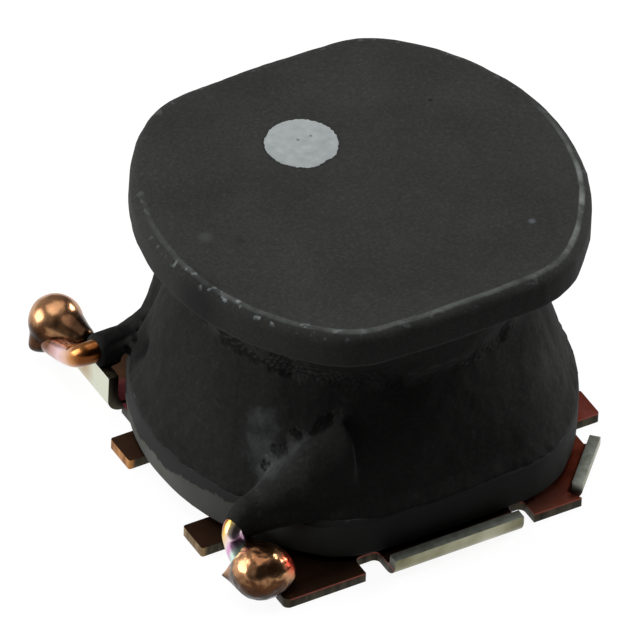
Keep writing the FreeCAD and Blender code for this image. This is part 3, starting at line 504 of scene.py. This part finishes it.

# Cured epoxy with ferrite powder: matt, almost black, with lighter grey patches that are partly dust
# and partly painted light
resin = finish_named("ferrite_filled_epoxy")
resin_place = add(resin, "ShaderNodeTexCoord")
resin_spot = resin_place.outputs["Object"]
powder = add(resin, "ShaderNodeTexNoise", Vector=resin_spot, Scale=repeats(0.0909), Detail=3.0,
             Roughness=0.75)
flow = add(resin, "ShaderNodeTexNoise", Vector=resin_spot, Scale=repeats(2.381), Detail=5.0, Roughness=0.6)
powder_colour = add(resin, "ShaderNodeValToRGB",
                    {"stops": ((0.3, "#222221"), (0.6, "#2B2B2A"), (0.82, "#41423F"))}, Fac=powder)
smear = add(resin, "ShaderNodeTexNoise", Vector=resin_spot, Scale=repeats(0.6667), Detail=5.0, Roughness=0.62)
flow_colour = add(resin, "ShaderNodeValToRGB", {"stops": ((0.32, "#CFCFCF"), (0.68, "#FFFFFF"))}, Fac=flow)
resin_colour = add(resin, "ShaderNodeMix", {"data_type": "RGBA", "blend_type": "MULTIPLY"}, Factor=1.0,
                   n6=powder_colour, n7=flow_colour)
# Lighter grey lies beside the finish fin, partly dust and partly painted light, and a paler patch on
# the right is painted light. The start fin, its notch and a spot under the rim are painted black as shade.
resin_dust_and_painted_light = resin_colour
for centre, reach, code, strength in (((-3.15, -2.25, 2.3), 0.72, "#575A5B", 0.85),
                                      ((-2.9, -2.55, 2.6), 0.32, "#606364", 0.7),
                                      ((2.35, -2.5, 2.4), 0.8, "#454643", 0.5),
                                      ((-3.27, 1.64, 1.62), 0.42, "#060606", 0.97),
                                      ((-3.35, 2.3, 1.4), 0.92, "#090908", 0.94),
                                      ((-3.1, -0.45, 4.2), 0.45, "#161515", 0.8)):
    resin_dust_and_painted_light = mark(resin, resin_spot, resin_dust_and_painted_light, centre, reach * 1.1, reach * 2.1, code, strength,
                        smear, reach * 2.2, "SMOOTHSTEP")
resin_bump = add(resin, "ShaderNodeBump", Strength=0.5, Distance=0.02 * mm, Height=powder)
resin_body = add(resin, "ShaderNodeBsdfPrincipled", Base_Color=resin_dust_and_painted_light, Roughness=0.88, IOR=1.55,
                 Specular_IOR_Level=0.12, Normal=resin_bump)
add(resin, "ShaderNodeOutputMaterial", Surface=resin_body)
coat.data.materials.clear()
coat.data.materials.append(resin)
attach(coat, "root")
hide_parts("resin_coat")

# The winding is one enamelled copper wire: three layers of eight turns round the post, whose two
# ends come out under the coat, bend round the weld arms and run into the beads.
wire_radius = 0.21
turn_pitch = 0.442
coil_inner_radius = 1.57
coil_bottom = 1.16
turn_rings = []
for layer in range(3):
    ring_radius = coil_inner_radius + wire_radius + layer * 2 * wire_radius
    bpy.ops.mesh.primitive_torus_add(major_radius=ring_radius * mm, minor_radius=(wire_radius - 0.002) * mm,
                                     major_segments=72, minor_segments=12,
                                     location=(0, 0, (coil_bottom + turn_pitch / 2) * mm))
    ring = bpy.context.object
    ring.name = "turn_layer"
    settle(ring)
    stack = ring.modifiers.new("turns", "ARRAY")
    stack.count = 8
    stack.use_relative_offset = False
    stack.use_constant_offset = True
    stack.constant_offset_displace = (0, 0, turn_pitch * mm)
    bpy.ops.object.modifier_apply(modifier=stack.name)
    turn_rings.append(ring)


def bent_wire(name, route):
    # A round wire along a smooth curve that its route's points pull into shape
    curve = bpy.data.curves.new(name, "CURVE")
    curve.dimensions = "3D"
    spline = curve.splines.new("NURBS")
    spline.points.add(len(route) - 1)
    for point, place in zip(spline.points, route):
        point.co = [c * mm for c in place] + [1]
    spline.order_u = 3
    spline.use_endpoint_u = True
    curve.resolution_u = 24
    curve.bevel_depth = wire_radius * mm
    curve.bevel_resolution = 10
    curve.use_fill_caps = True
    wire = bpy.data.objects.new(name, curve)
    bpy.context.scene.collection.objects.link(wire)
    only(wire)
    bpy.ops.object.convert(target="MESH")
    return bpy.context.object


outer_run = -3.952
start_wire = bent_wire("start_wire", [(0, lead_offset, lead_height), (-2.55, lead_offset, lead_height),
                                      (-2.95, lead_offset, 1.1), (-3.34, lead_offset, 1.07),
                                      (outer_run, 2.64, 1.05), (outer_run, 3.12, 0.64), (outer_run, 4.0, 0.4)])
finish_wire = bent_wire("finish_wire", [(0, -lead_offset, lead_height), (-3.42, -lead_offset, lead_height),
                                        (outer_run, -2.7, 1.2), (outer_run, -2.86, 0.84),
                                        (outer_run, -3.3, 0.6)])
only(start_wire)
finish_wire.select_set(True)
for ring in turn_rings:
    ring.select_set(True)
bpy.ops.object.join()
wire = bpy.context.object
wire.name = "copper_wire"
bpy.ops.object.mode_set(mode="EDIT")
bpy.ops.mesh.select_all(action="SELECT")
bpy.ops.mesh.remove_doubles(threshold=0.0005 * mm)
bpy.ops.mesh.normals_make_consistent(inside=False)
bpy.ops.object.mode_set(mode="OBJECT")
bpy.ops.object.shade_smooth_by_angle(angle=math.radians(40))

# Copper wire whose enamel burnt off at the welds: polished metal with heat tints that run from
# gold through rose to a pale silver and back to brown along each lead
copper = finish_named("heat_tinted_copper")
copper_place = add(copper, "ShaderNodeTexCoord")
copper_spot = copper_place.outputs["Object"]
copper_axes = add(copper, "ShaderNodeSeparateXYZ", Vector=copper_spot)
tint_wander = add(copper, "ShaderNodeTexNoise", Vector=copper_spot, Scale=repeats(0.3846), Detail=3.0)
tints = []
for first, last, stops in (
        (2.35, 3.6, ((0.0, "#3A2010"), (0.2, "#6E3F1E"), (0.34, "#C0834C"), (0.5, "#E0B49A"),
                     (0.68, "#E6C4C6"), (0.86, "#C0948C"), (1.0, "#704832"))),
        (-2.5, -3.25, ((0.0, "#6A3A1C"), (0.18, "#A8552C"), (0.32, "#F2CC6A"), (0.5, "#F0DCDA"),
                       (0.62, "#DCA0CE"), (0.78, "#CDE8DA"), (1.0, "#8A5E40")))):
    reach = add(copper, "ShaderNodeMapRange", Value=copper_axes.outputs["Y"], From_Min=first * mm,
                From_Max=last * mm)
    shifted = add(copper, "ShaderNodeMath", {"operation": "MULTIPLY_ADD"}, n0=tint_wander, n1=0.22, n2=reach)
    centred = add(copper, "ShaderNodeMath", {"operation": "SUBTRACT"}, n0=shifted, n1=0.11)
    tints.append(add(copper, "ShaderNodeValToRGB", {"stops": stops}, Fac=centred))
far_side = add(copper, "ShaderNodeMath", {"operation": "GREATER_THAN"}, n0=copper_axes.outputs["Y"], n1=0.0)
tint = add(copper, "ShaderNodeMix", {"data_type": "RGBA"}, Factor=far_side, n6=tints[1], n7=tints[0])
enamel_share = add(copper, "ShaderNodeMapRange", Value=copper_axes.outputs["X"], From_Min=-3.5 * mm,
                   From_Max=-3.3 * mm)
enamel_tint = add(copper, "ShaderNodeValToRGB", {"stops": ((0.35, "#8E3A14"), (0.65, "#A8491C"))},
                  Fac=tint_wander)
copper_colour = add(copper, "ShaderNodeMix", {"data_type": "RGBA"}, Factor=enamel_share, n6=tint,
                    n7=enamel_tint)
draw_lines = add(copper, "ShaderNodeTexNoise", Vector=copper_spot, Scale=repeats(0.1111), Detail=2.0)
copper_bump = add(copper, "ShaderNodeBump", Strength=0.12, Distance=0.008 * mm, Height=draw_lines)
copper_gloss = add(copper, "ShaderNodeMapRange", Value=tint_wander, From_Min=0.3, From_Max=0.7, To_Min=0.16,
                   To_Max=0.3)
copper_body = add(copper, "ShaderNodeBsdfPrincipled", Base_Color=copper_colour, Metallic=1.0,
                  Roughness=copper_gloss, Normal=copper_bump)
add(copper, "ShaderNodeOutputMaterial", Surface=copper_body)
wire.data.materials.clear()
wire.data.materials.append(copper)
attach(wire, "root")
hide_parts("winding")

# The terminals are halves of a stamped lead frame in tinned copper sheet, 0.2 mm thick. Their tabs
# and weld arms are bent up, and the stubs are cut where the frame held them.
tin = finish_named("tin_plate")
shaded_copper = finish_named("tarnished_and_shaded_copper_sheet")
cut_copper = finish_named("sheared_copper_edge")


def stamped_sheet(name, node):
    # A copy of a terminal with softened edges and its own finish on plated, bare and cut faces
    sheet = copy_of(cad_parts[node], name)
    sheet.data.materials.clear()
    for material in (tin, shaded_copper, cut_copper):
        sheet.data.materials.append(material)
    bpy.ops.object.mode_set(mode="EDIT")
    bpy.ops.mesh.select_all(action="SELECT")
    bpy.ops.mesh.dissolve_limited(angle_limit=math.radians(2))
    bpy.ops.object.mode_set(mode="OBJECT")
    plated, bare, sheared = 0, 1, 2
    for face in sheet.data.polygons:
        place = face.center / mm
        outward = face.normal.dot(Vector((place.x, place.y, 0)).normalized())
        if place.z < 0.215:
            look = bare if face.normal.z > 0.5 else plated if face.normal.z < -0.2 else sheared
        elif place.x < -3.7:
            look = plated
        else:
            look = sheared if face.normal.z > 0.8 or -0.3 <= outward <= 0.55 else plated if outward > 0 else bare
        face.material_index = look
    burr = sheet.modifiers.new("soft_edges", "BEVEL")
    burr.width = 0.022 * mm
    burr.segments = 3
    burr.limit_method = "ANGLE"
    burr.angle_limit = math.radians(40)
    bpy.ops.object.modifier_apply(modifier=burr.name)
    bpy.ops.object.shade_smooth_by_angle(angle=math.radians(35))
    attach(sheet, "root")
    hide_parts(node)
    return sheet


stamped_sheet("start_sheet", "terminal_start")
stamped_sheet("finish_sheet", "terminal_finish")

# Matt tin plate over copper: a pale olive silver with faint rolling lines and grey fingermarks
tin_place = add(tin, "ShaderNodeTexCoord")
tin_grain = add(tin, "ShaderNodeMapping", Vector=tin_place.outputs["Object"], Scale=(1.0, 1.0, 7.0))
tin_lines = add(tin, "ShaderNodeTexNoise", Vector=tin_grain, Scale=repeats(0.4167), Detail=4.0)
tin_smears = add(tin, "ShaderNodeTexNoise", Vector=tin_place.outputs["Object"], Scale=repeats(1.1111),
                 Detail=4.0)
tin_colour = add(tin, "ShaderNodeValToRGB",
                 {"stops": ((0.3, "#55523C"), (0.5, "#7F7D63"), (0.72, "#A3A28C"))}, Fac=tin_smears)
tin_axes = add(tin, "ShaderNodeSeparateXYZ", Vector=tin_place.outputs["Object"])
# The weld arms' outer faces are made a paler tin as a painted reflection
arm_reflection_share = add(tin, "ShaderNodeMapRange", Value=tin_axes.outputs["X"], From_Min=-3.5 * mm,
                From_Max=-3.7 * mm)
arm_painted_reflection = add(tin, "ShaderNodeMix", {"data_type": "RGBA"}, Factor=arm_reflection_share, n6=tin_colour,
              n7=linear("#D6D8C6"))
heat_stain = mark(tin, tin_place.outputs["Object"], arm_painted_reflection, (-3.85, 3.02, 0.45), 0.35, 0.7,
                  "#B08E5E", 0.85, tin_smears, 0.5)
tin_bump = add(tin, "ShaderNodeBump", Strength=0.2, Distance=0.006 * mm, Height=tin_lines)
tin_gloss = add(tin, "ShaderNodeMapRange", Value=tin_smears, From_Min=0.3, From_Max=0.7, To_Min=0.42,
                To_Max=0.28)
tin_body = add(tin, "ShaderNodeBsdfPrincipled", Base_Color=heat_stain, Metallic=1.0, Roughness=tin_gloss,
               Normal=tin_bump)
add(tin, "ShaderNodeOutputMaterial", Surface=tin_body)

# Copper sheet that lost its tin in the oven: red brown and dark, darker in the corners, which is
# partly tarnish and partly painted shade
shade_place = add(shaded_copper, "ShaderNodeTexCoord")
shade_clouds = add(shaded_copper, "ShaderNodeTexNoise", Vector=shade_place.outputs["Object"],
                   Scale=repeats(1.4286), Detail=5.0, Roughness=0.62)
shade_colour = add(shaded_copper, "ShaderNodeValToRGB",
                   {"stops": ((0.3, "#33231A"), (0.55, "#4A3325"), (0.75, "#65452F"))}, Fac=shade_clouds)
shade_axes = add(shaded_copper, "ShaderNodeSeparateXYZ", Vector=shade_place.outputs["Object"])
rose_share = add(shaded_copper, "ShaderNodeMapRange", Value=shade_axes.outputs["X"], From_Min=0.5 * mm,
                 From_Max=2.8 * mm)
rose_colour = add(shaded_copper, "ShaderNodeValToRGB",
                  {"stops": ((0.35, "#2E1612"), (0.5, "#70301E"), (0.68, "#7E443C"))}, Fac=shade_clouds)
flat_colour = add(shaded_copper, "ShaderNodeMix", {"data_type": "RGBA"}, Factor=rose_share, n6=shade_colour,
                  n7=rose_colour)
bend_colour = mark(shaded_copper, shade_place.outputs["Object"], flat_colour, (-3.42, 2.15, 0.35),
                   0.3, 0.6, "#B0565E", 1.0)
shade_grain = add(shaded_copper, "ShaderNodeTexNoise", Vector=shade_place.outputs["Object"],
                  Scale=repeats(0.125), Detail=3.0)
shade_bump = add(shaded_copper, "ShaderNodeBump", Strength=0.2, Distance=0.008 * mm, Height=shade_grain)
shade_body = add(shaded_copper, "ShaderNodeBsdfPrincipled", Base_Color=bend_colour, Metallic=1.0,
                 Roughness=0.5, Normal=shade_bump)
add(shaded_copper, "ShaderNodeOutputMaterial", Surface=shade_body)

# Sheared copper: orange metal with vertical tear marks, wiped over with grey tin along the tabs' tops
cut_place = add(cut_copper, "ShaderNodeTexCoord")
cut_stretch = add(cut_copper, "ShaderNodeMapping", Vector=cut_place.outputs["Object"], Scale=(1.0, 1.0, 0.2))
cut_tears = add(cut_copper, "ShaderNodeTexNoise", Vector=cut_stretch, Scale=repeats(0.1429), Detail=3.0)
cut_axes = add(cut_copper, "ShaderNodeSeparateXYZ", Vector=cut_place.outputs["Object"])
cut_height = add(cut_copper, "ShaderNodeMapRange", Value=cut_axes.outputs["Z"], From_Min=0.2 * mm,
                 From_Max=0.4 * mm)
bare_colour = add(cut_copper, "ShaderNodeValToRGB",
                  {"stops": ((0.3, "#6A4426"), (0.55, "#B27D48"), (0.8, "#CC9A64"))}, Fac=cut_tears)
dull_colour = add(cut_copper, "ShaderNodeValToRGB", {"stops": ((0.35, "#211D17"), (0.65, "#3F3A2E"))},
                  Fac=cut_tears)
wiped_colour = add(cut_copper, "ShaderNodeValToRGB", {"stops": ((0.3, "#7A7C70"), (0.7, "#969A92"))},
                   Fac=cut_tears)
west_end = add(cut_copper, "ShaderNodeMapRange", Value=cut_axes.outputs["X"], From_Min=-4.0 * mm,
               From_Max=-4.1 * mm)
olive_colour = add(cut_copper, "ShaderNodeValToRGB",
                   {"stops": ((0.3, "#4A3C26"), (0.55, "#80694A"), (0.8, "#9C8766"))}, Fac=cut_tears)
start_side = add(cut_copper, "ShaderNodeMath", {"operation": "GREATER_THAN"}, n0=cut_axes.outputs["Y"],
                 n1=0.0)
stub_colour = add(cut_copper, "ShaderNodeMix", {"data_type": "RGBA"}, Factor=start_side, n6=olive_colour,
                  n7=bare_colour)
low_colour = add(cut_copper, "ShaderNodeMix", {"data_type": "RGBA"}, Factor=west_end, n6=dull_colour,
                 n7=stub_colour)
# A red burr runs along the upper edge of the plates, and not up the arms
lip_height = add(cut_copper, "ShaderNodeMapRange", Value=cut_axes.outputs["Z"], From_Min=0.155 * mm,
                 From_Max=0.185 * mm, To_Max=0.85)
lip_top = add(cut_copper, "ShaderNodeMath", {"operation": "LESS_THAN"}, n0=cut_axes.outputs["Z"],
              n1=0.21 * mm)
lip_inner = add(cut_copper, "ShaderNodeMath", {"operation": "MULTIPLY"}, n0=lip_height, n1=lip_top)
plate_part = add(cut_copper, "ShaderNodeMath", {"operation": "GREATER_THAN"}, n0=cut_axes.outputs["X"],
                 n1=-3.4 * mm)
lip_share = add(cut_copper, "ShaderNodeMath", {"operation": "MULTIPLY"}, n0=lip_inner, n1=plate_part)
lip_colour = add(cut_copper, "ShaderNodeMix", {"data_type": "RGBA"}, Factor=lip_share, n6=low_colour,
                 n7=linear("#7E4238"))
tab_share = add(cut_copper, "ShaderNodeMapRange", Value=cut_axes.outputs["X"], From_Min=-3.0 * mm,
                From_Max=-2.0 * mm)
tab_height = add(cut_copper, "ShaderNodeMath", {"operation": "MULTIPLY"}, n0=cut_height, n1=tab_share)
cut_colour = add(cut_copper, "ShaderNodeMix", {"data_type": "RGBA"}, Factor=tab_height, n6=lip_colour,
                 n7=wiped_colour)
cut_bump = add(cut_copper, "ShaderNodeBump", Strength=0.4, Distance=0.01 * mm, Height=cut_tears)
cut_body = add(cut_copper, "ShaderNodeBsdfPrincipled", Base_Color=cut_colour, Metallic=1.0, Roughness=0.5,
               Normal=cut_bump)
add(cut_copper, "ShaderNodeOutputMaterial", Surface=cut_body)

# The weld beads are drops of copper and tin that the arc melted at each lead's end. They froze
# round, with a beak where the wire's tip stood out.
weld = finish_named("melted_copper_and_tin")


def melted_bead(name, node, lobes, pulls, melting):
    # Drops that ran into one, each a centre and a radius, then pulled towards some sides: a direction, a
    # length, a reach and how it falls off. More melting evens them out further.
    drops = []
    for centre, radius in lobes:
        bpy.ops.mesh.primitive_uv_sphere_add(segments=48, ring_count=24, radius=radius * mm,
                                             location=[c * mm for c in centre])
        drops.append(bpy.context.object)
        settle(drops[-1])
    bead = drops[0]
    bead.name = name
    only(bead)
    for drop in drops:
        drop.select_set(True)
    bpy.ops.object.join()
    bead.data.remesh_voxel_size = 0.03 * mm
    bpy.ops.object.voxel_remesh()
    even_out(bead, melting)
    middle = Vector(lobes[0][0]) * mm
    for direction, length, reach, falloff in pulls:
        towards = Vector(direction).normalized()
        nearest = max(bead.data.vertices, key=lambda v: (v.co - middle).dot(towards)).index
        bpy.ops.object.mode_set(mode="EDIT")
        bpy.ops.mesh.select_mode(type="VERT")
        bpy.ops.mesh.select_all(action="DESELECT")
        bpy.ops.object.mode_set(mode="OBJECT")
        bead.data.vertices[nearest].select = True
        bpy.ops.object.mode_set(mode="EDIT")
        bpy.ops.transform.translate(value=towards * length * mm, use_proportional_edit=True,
                                    proportional_edit_falloff=falloff, proportional_size=reach * mm)
        bpy.ops.object.mode_set(mode="OBJECT")
    for vertex in bead.data.vertices:
        out = (vertex.co - middle).normalized()
        fine = 0.012 if middle.y < 0 else 0.003
        vertex.co += out * (0.012 * noise.noise(vertex.co * 2600) + fine * noise.noise(vertex.co * 8000)) * mm
    round_off = bead.modifiers.new("frozen_skin", "SUBSURF")
    round_off.levels = 1
    round_off.render_levels = 1
    bpy.ops.object.modifier_apply(modifier=round_off.name)
    bpy.ops.object.shade_smooth()
    bead.data.materials.append(weld)
    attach(bead, "root")
    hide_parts(node)
    return bead


melted_bead("start_bead", "weld_start", (((-3.736, 4.01, 0.69), 0.505), ((-3.93, 3.97, 0.47), 0.3),
                                         ((-3.66, 3.72, 0.72), 0.36), ((-3.62, 3.52, 0.74), 0.29),
                                         ((-3.58, 3.34, 0.76), 0.24)),
            (((-0.52, 0.06, -0.39), 0.1, 0.3, "SMOOTH"),), 36)
melted_bead("finish_bead", "weld_finish", (((-3.736, -3.37, 0.6), 0.525), ((-3.8, -3.0, 0.74), 0.26)),
            (((-0.5, 0.49, -0.29), 0.2, 0.3, "SHARP"), ((0.2, 0.6, 0.4), 0.06, 0.4, "SMOOTH"),
             ((0.86, -0.51, -0.05), 0.1, 0.7, "SMOOTH"), ((-0.86, 0.51, 0.1), 0.05, 0.6, "SMOOTH")), 10)

weld_place = add(weld, "ShaderNodeTexCoord")
weld_spot = weld_place.outputs["Object"]
weld_clouds = add(weld, "ShaderNodeTexNoise", Vector=weld_spot, Scale=repeats(0.6667), Detail=4.0,
                  Roughness=0.6)
weld_facing = add(weld, "ShaderNodeSeparateXYZ", Vector=weld_place.outputs["Normal"])
# Colour by how far the drop faces up: dark underneath as painted shade and a pale band where the
# lamp's highlight falls as a painted highlight, over oxide tints
weld_facing_light = add(weld, "ShaderNodeMath", {"operation": "MULTIPLY_ADD"}, n0=weld_facing.outputs["Z"], n1=0.42,
                n2=weld_clouds)
weld_tint_and_painted_light = add(weld, "ShaderNodeValToRGB",
                  {"stops": ((0.25, "#160D07"), (0.5, "#503320"), (0.74, "#C8966C"), (0.95, "#8C5F42"))},
                  Fac=weld_facing_light)
weld_skin = add(weld, "ShaderNodeTexNoise", Vector=weld_spot, Scale=repeats(0.2381), Detail=4.0)
weld_axes = add(weld, "ShaderNodeSeparateXYZ", Vector=weld_spot)
rough_share = add(weld, "ShaderNodeMapRange", Value=weld_axes.outputs["Y"], From_Min=1.0 * mm,
                  From_Max=-1.0 * mm, To_Min=0.25, To_Max=1.6)
weld_relief = add(weld, "ShaderNodeMath", {"operation": "MULTIPLY"}, n0=weld_skin, n1=rough_share)
weld_bump = add(weld, "ShaderNodeBump", Strength=0.4, Distance=0.03 * mm, Height=weld_relief)
# A red streak on the finish bead's right is a painted highlight, and the dark patch where the start
# bead meets the burnt enamel is painted shade
red_painted_highlight = mark(weld, weld_spot, weld_tint_and_painted_light, (-3.3, -3.62, 0.82), 0.12, 0.3, "#D8402E",
                 0.85)
# The start bead's neck is darkened as painted shade
neck_painted_shade = mark(weld, weld_spot, red_painted_highlight, (-3.5, 3.34, 0.82), 0.3, 0.62, "#1C120C", 0.9)
weld_body = add(weld, "ShaderNodeBsdfPrincipled", Base_Color=neck_painted_shade, Metallic=1.0, Roughness=0.26,
                Normal=weld_bump)
add(weld, "ShaderNodeOutputMaterial", Surface=weld_body)

# Two thin layers of brown epoxy hold the terminals under the drum. They were printed on and
# pressed flat when the drum was set down.
glue = finish_named("brown_epoxy_film")
glue_place = add(glue, "ShaderNodeTexCoord")
glue_clouds = add(glue, "ShaderNodeTexNoise", Vector=glue_place.outputs["Object"], Scale=repeats(0.9091),
                  Detail=4.0)
glue_colour = add(glue, "ShaderNodeValToRGB", {"stops": ((0.3, "#2B2216"), (0.7, "#463722"))},
                  Fac=glue_clouds)
glue_bump = add(glue, "ShaderNodeBump", Strength=0.3, Distance=0.02 * mm, Height=glue_clouds)
glue_body = add(glue, "ShaderNodeBsdfPrincipled", Base_Color=glue_colour, Roughness=0.32, IOR=1.55,
                Normal=glue_bump)
add(glue, "ShaderNodeOutputMaterial", Surface=glue_body)
for node in ("adhesive_start", "adhesive_finish"):
    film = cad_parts[node]
    film.data.materials.clear()
    film.data.materials.append(glue)

# The polarity dot is white ink, pad printed on the ferrite. Its edge is slightly uneven, and the
# dark grain shows through in a few specks.
dot_middle = Vector((-0.39 * mm, 1.42 * mm, 0))
top_face = 5.455
ink_thickness = 0.014
bpy.ops.object.select_all(action="DESELECT")
bpy.ops.mesh.primitive_circle_add(vertices=160, radius=0.65 * mm, fill_type="NGON",
                                  location=(dot_middle.x, dot_middle.y, top_face * mm))
dot = bpy.context.object
dot.name = "printed_dot"
settle(dot)
bpy.ops.object.mode_set(mode="EDIT")
bpy.ops.mesh.select_all(action="SELECT")
bpy.ops.mesh.extrude_region_move(TRANSFORM_OT_translate={"value": (0, 0, ink_thickness * mm)})
bpy.ops.mesh.inset(thickness=0.03 * mm, depth=0.005 * mm)
bpy.ops.mesh.select_all(action="SELECT")
bpy.ops.mesh.normals_make_consistent(inside=False)
bpy.ops.object.mode_set(mode="OBJECT")
for vertex in dot.data.vertices:
    out = Vector((vertex.co.x, vertex.co.y, 0)) - dot_middle
    wave = 0.03 * noise.noise(out.normalized() * 2.2) + 0.02 * noise.noise(out.normalized() * 11)
    vertex.co += out.normalized() * wave * mm
bpy.ops.object.shade_smooth_by_angle(angle=math.radians(30))
ink = finish_named("pad_printed_white_ink")
ink_place = add(ink, "ShaderNodeTexCoord")
ink_film = add(ink, "ShaderNodeTexNoise", Vector=ink_place.outputs["Object"], Scale=repeats(0.1667),
               Detail=3.0)
ink_colour = add(ink, "ShaderNodeValToRGB", {"stops": ((0.3, "#969C9C"), (0.6, "#A2A8A8"), (0.8, "#AEB3B3"))},
                 Fac=ink_film)
pores = add(ink, "ShaderNodeTexVoronoi", Vector=ink_place.outputs["Object"], Scale=repeats(0.1923))
pore_mask = add(ink, "ShaderNodeMapRange", Value=pores.outputs["Distance"], From_Min=0.05, From_Max=0.2,
                To_Min=1.0, To_Max=0.0)
pore_pick = add(ink, "ShaderNodeMath", {"operation": "GREATER_THAN"}, n0=pores.outputs["Color"], n1=0.66)
pore_share = add(ink, "ShaderNodeMath", {"operation": "MULTIPLY"}, n0=pore_mask, n1=pore_pick)
ink_mix = add(ink, "ShaderNodeMix", {"data_type": "RGBA"}, Factor=pore_share, n6=ink_colour,
              n7=linear("#565A59"))
ink_bump = add(ink, "ShaderNodeBump", Strength=0.25, Distance=0.006 * mm, Height=ink_film)
ink_body = add(ink, "ShaderNodeBsdfPrincipled", Base_Color=ink_mix, Roughness=0.55, IOR=1.48,
               Specular_IOR_Level=0.3, Normal=ink_bump)
add(ink, "ShaderNodeOutputMaterial", Surface=ink_body)
dot.data.materials.append(ink)
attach(dot, "root")
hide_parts("polarity_dot")
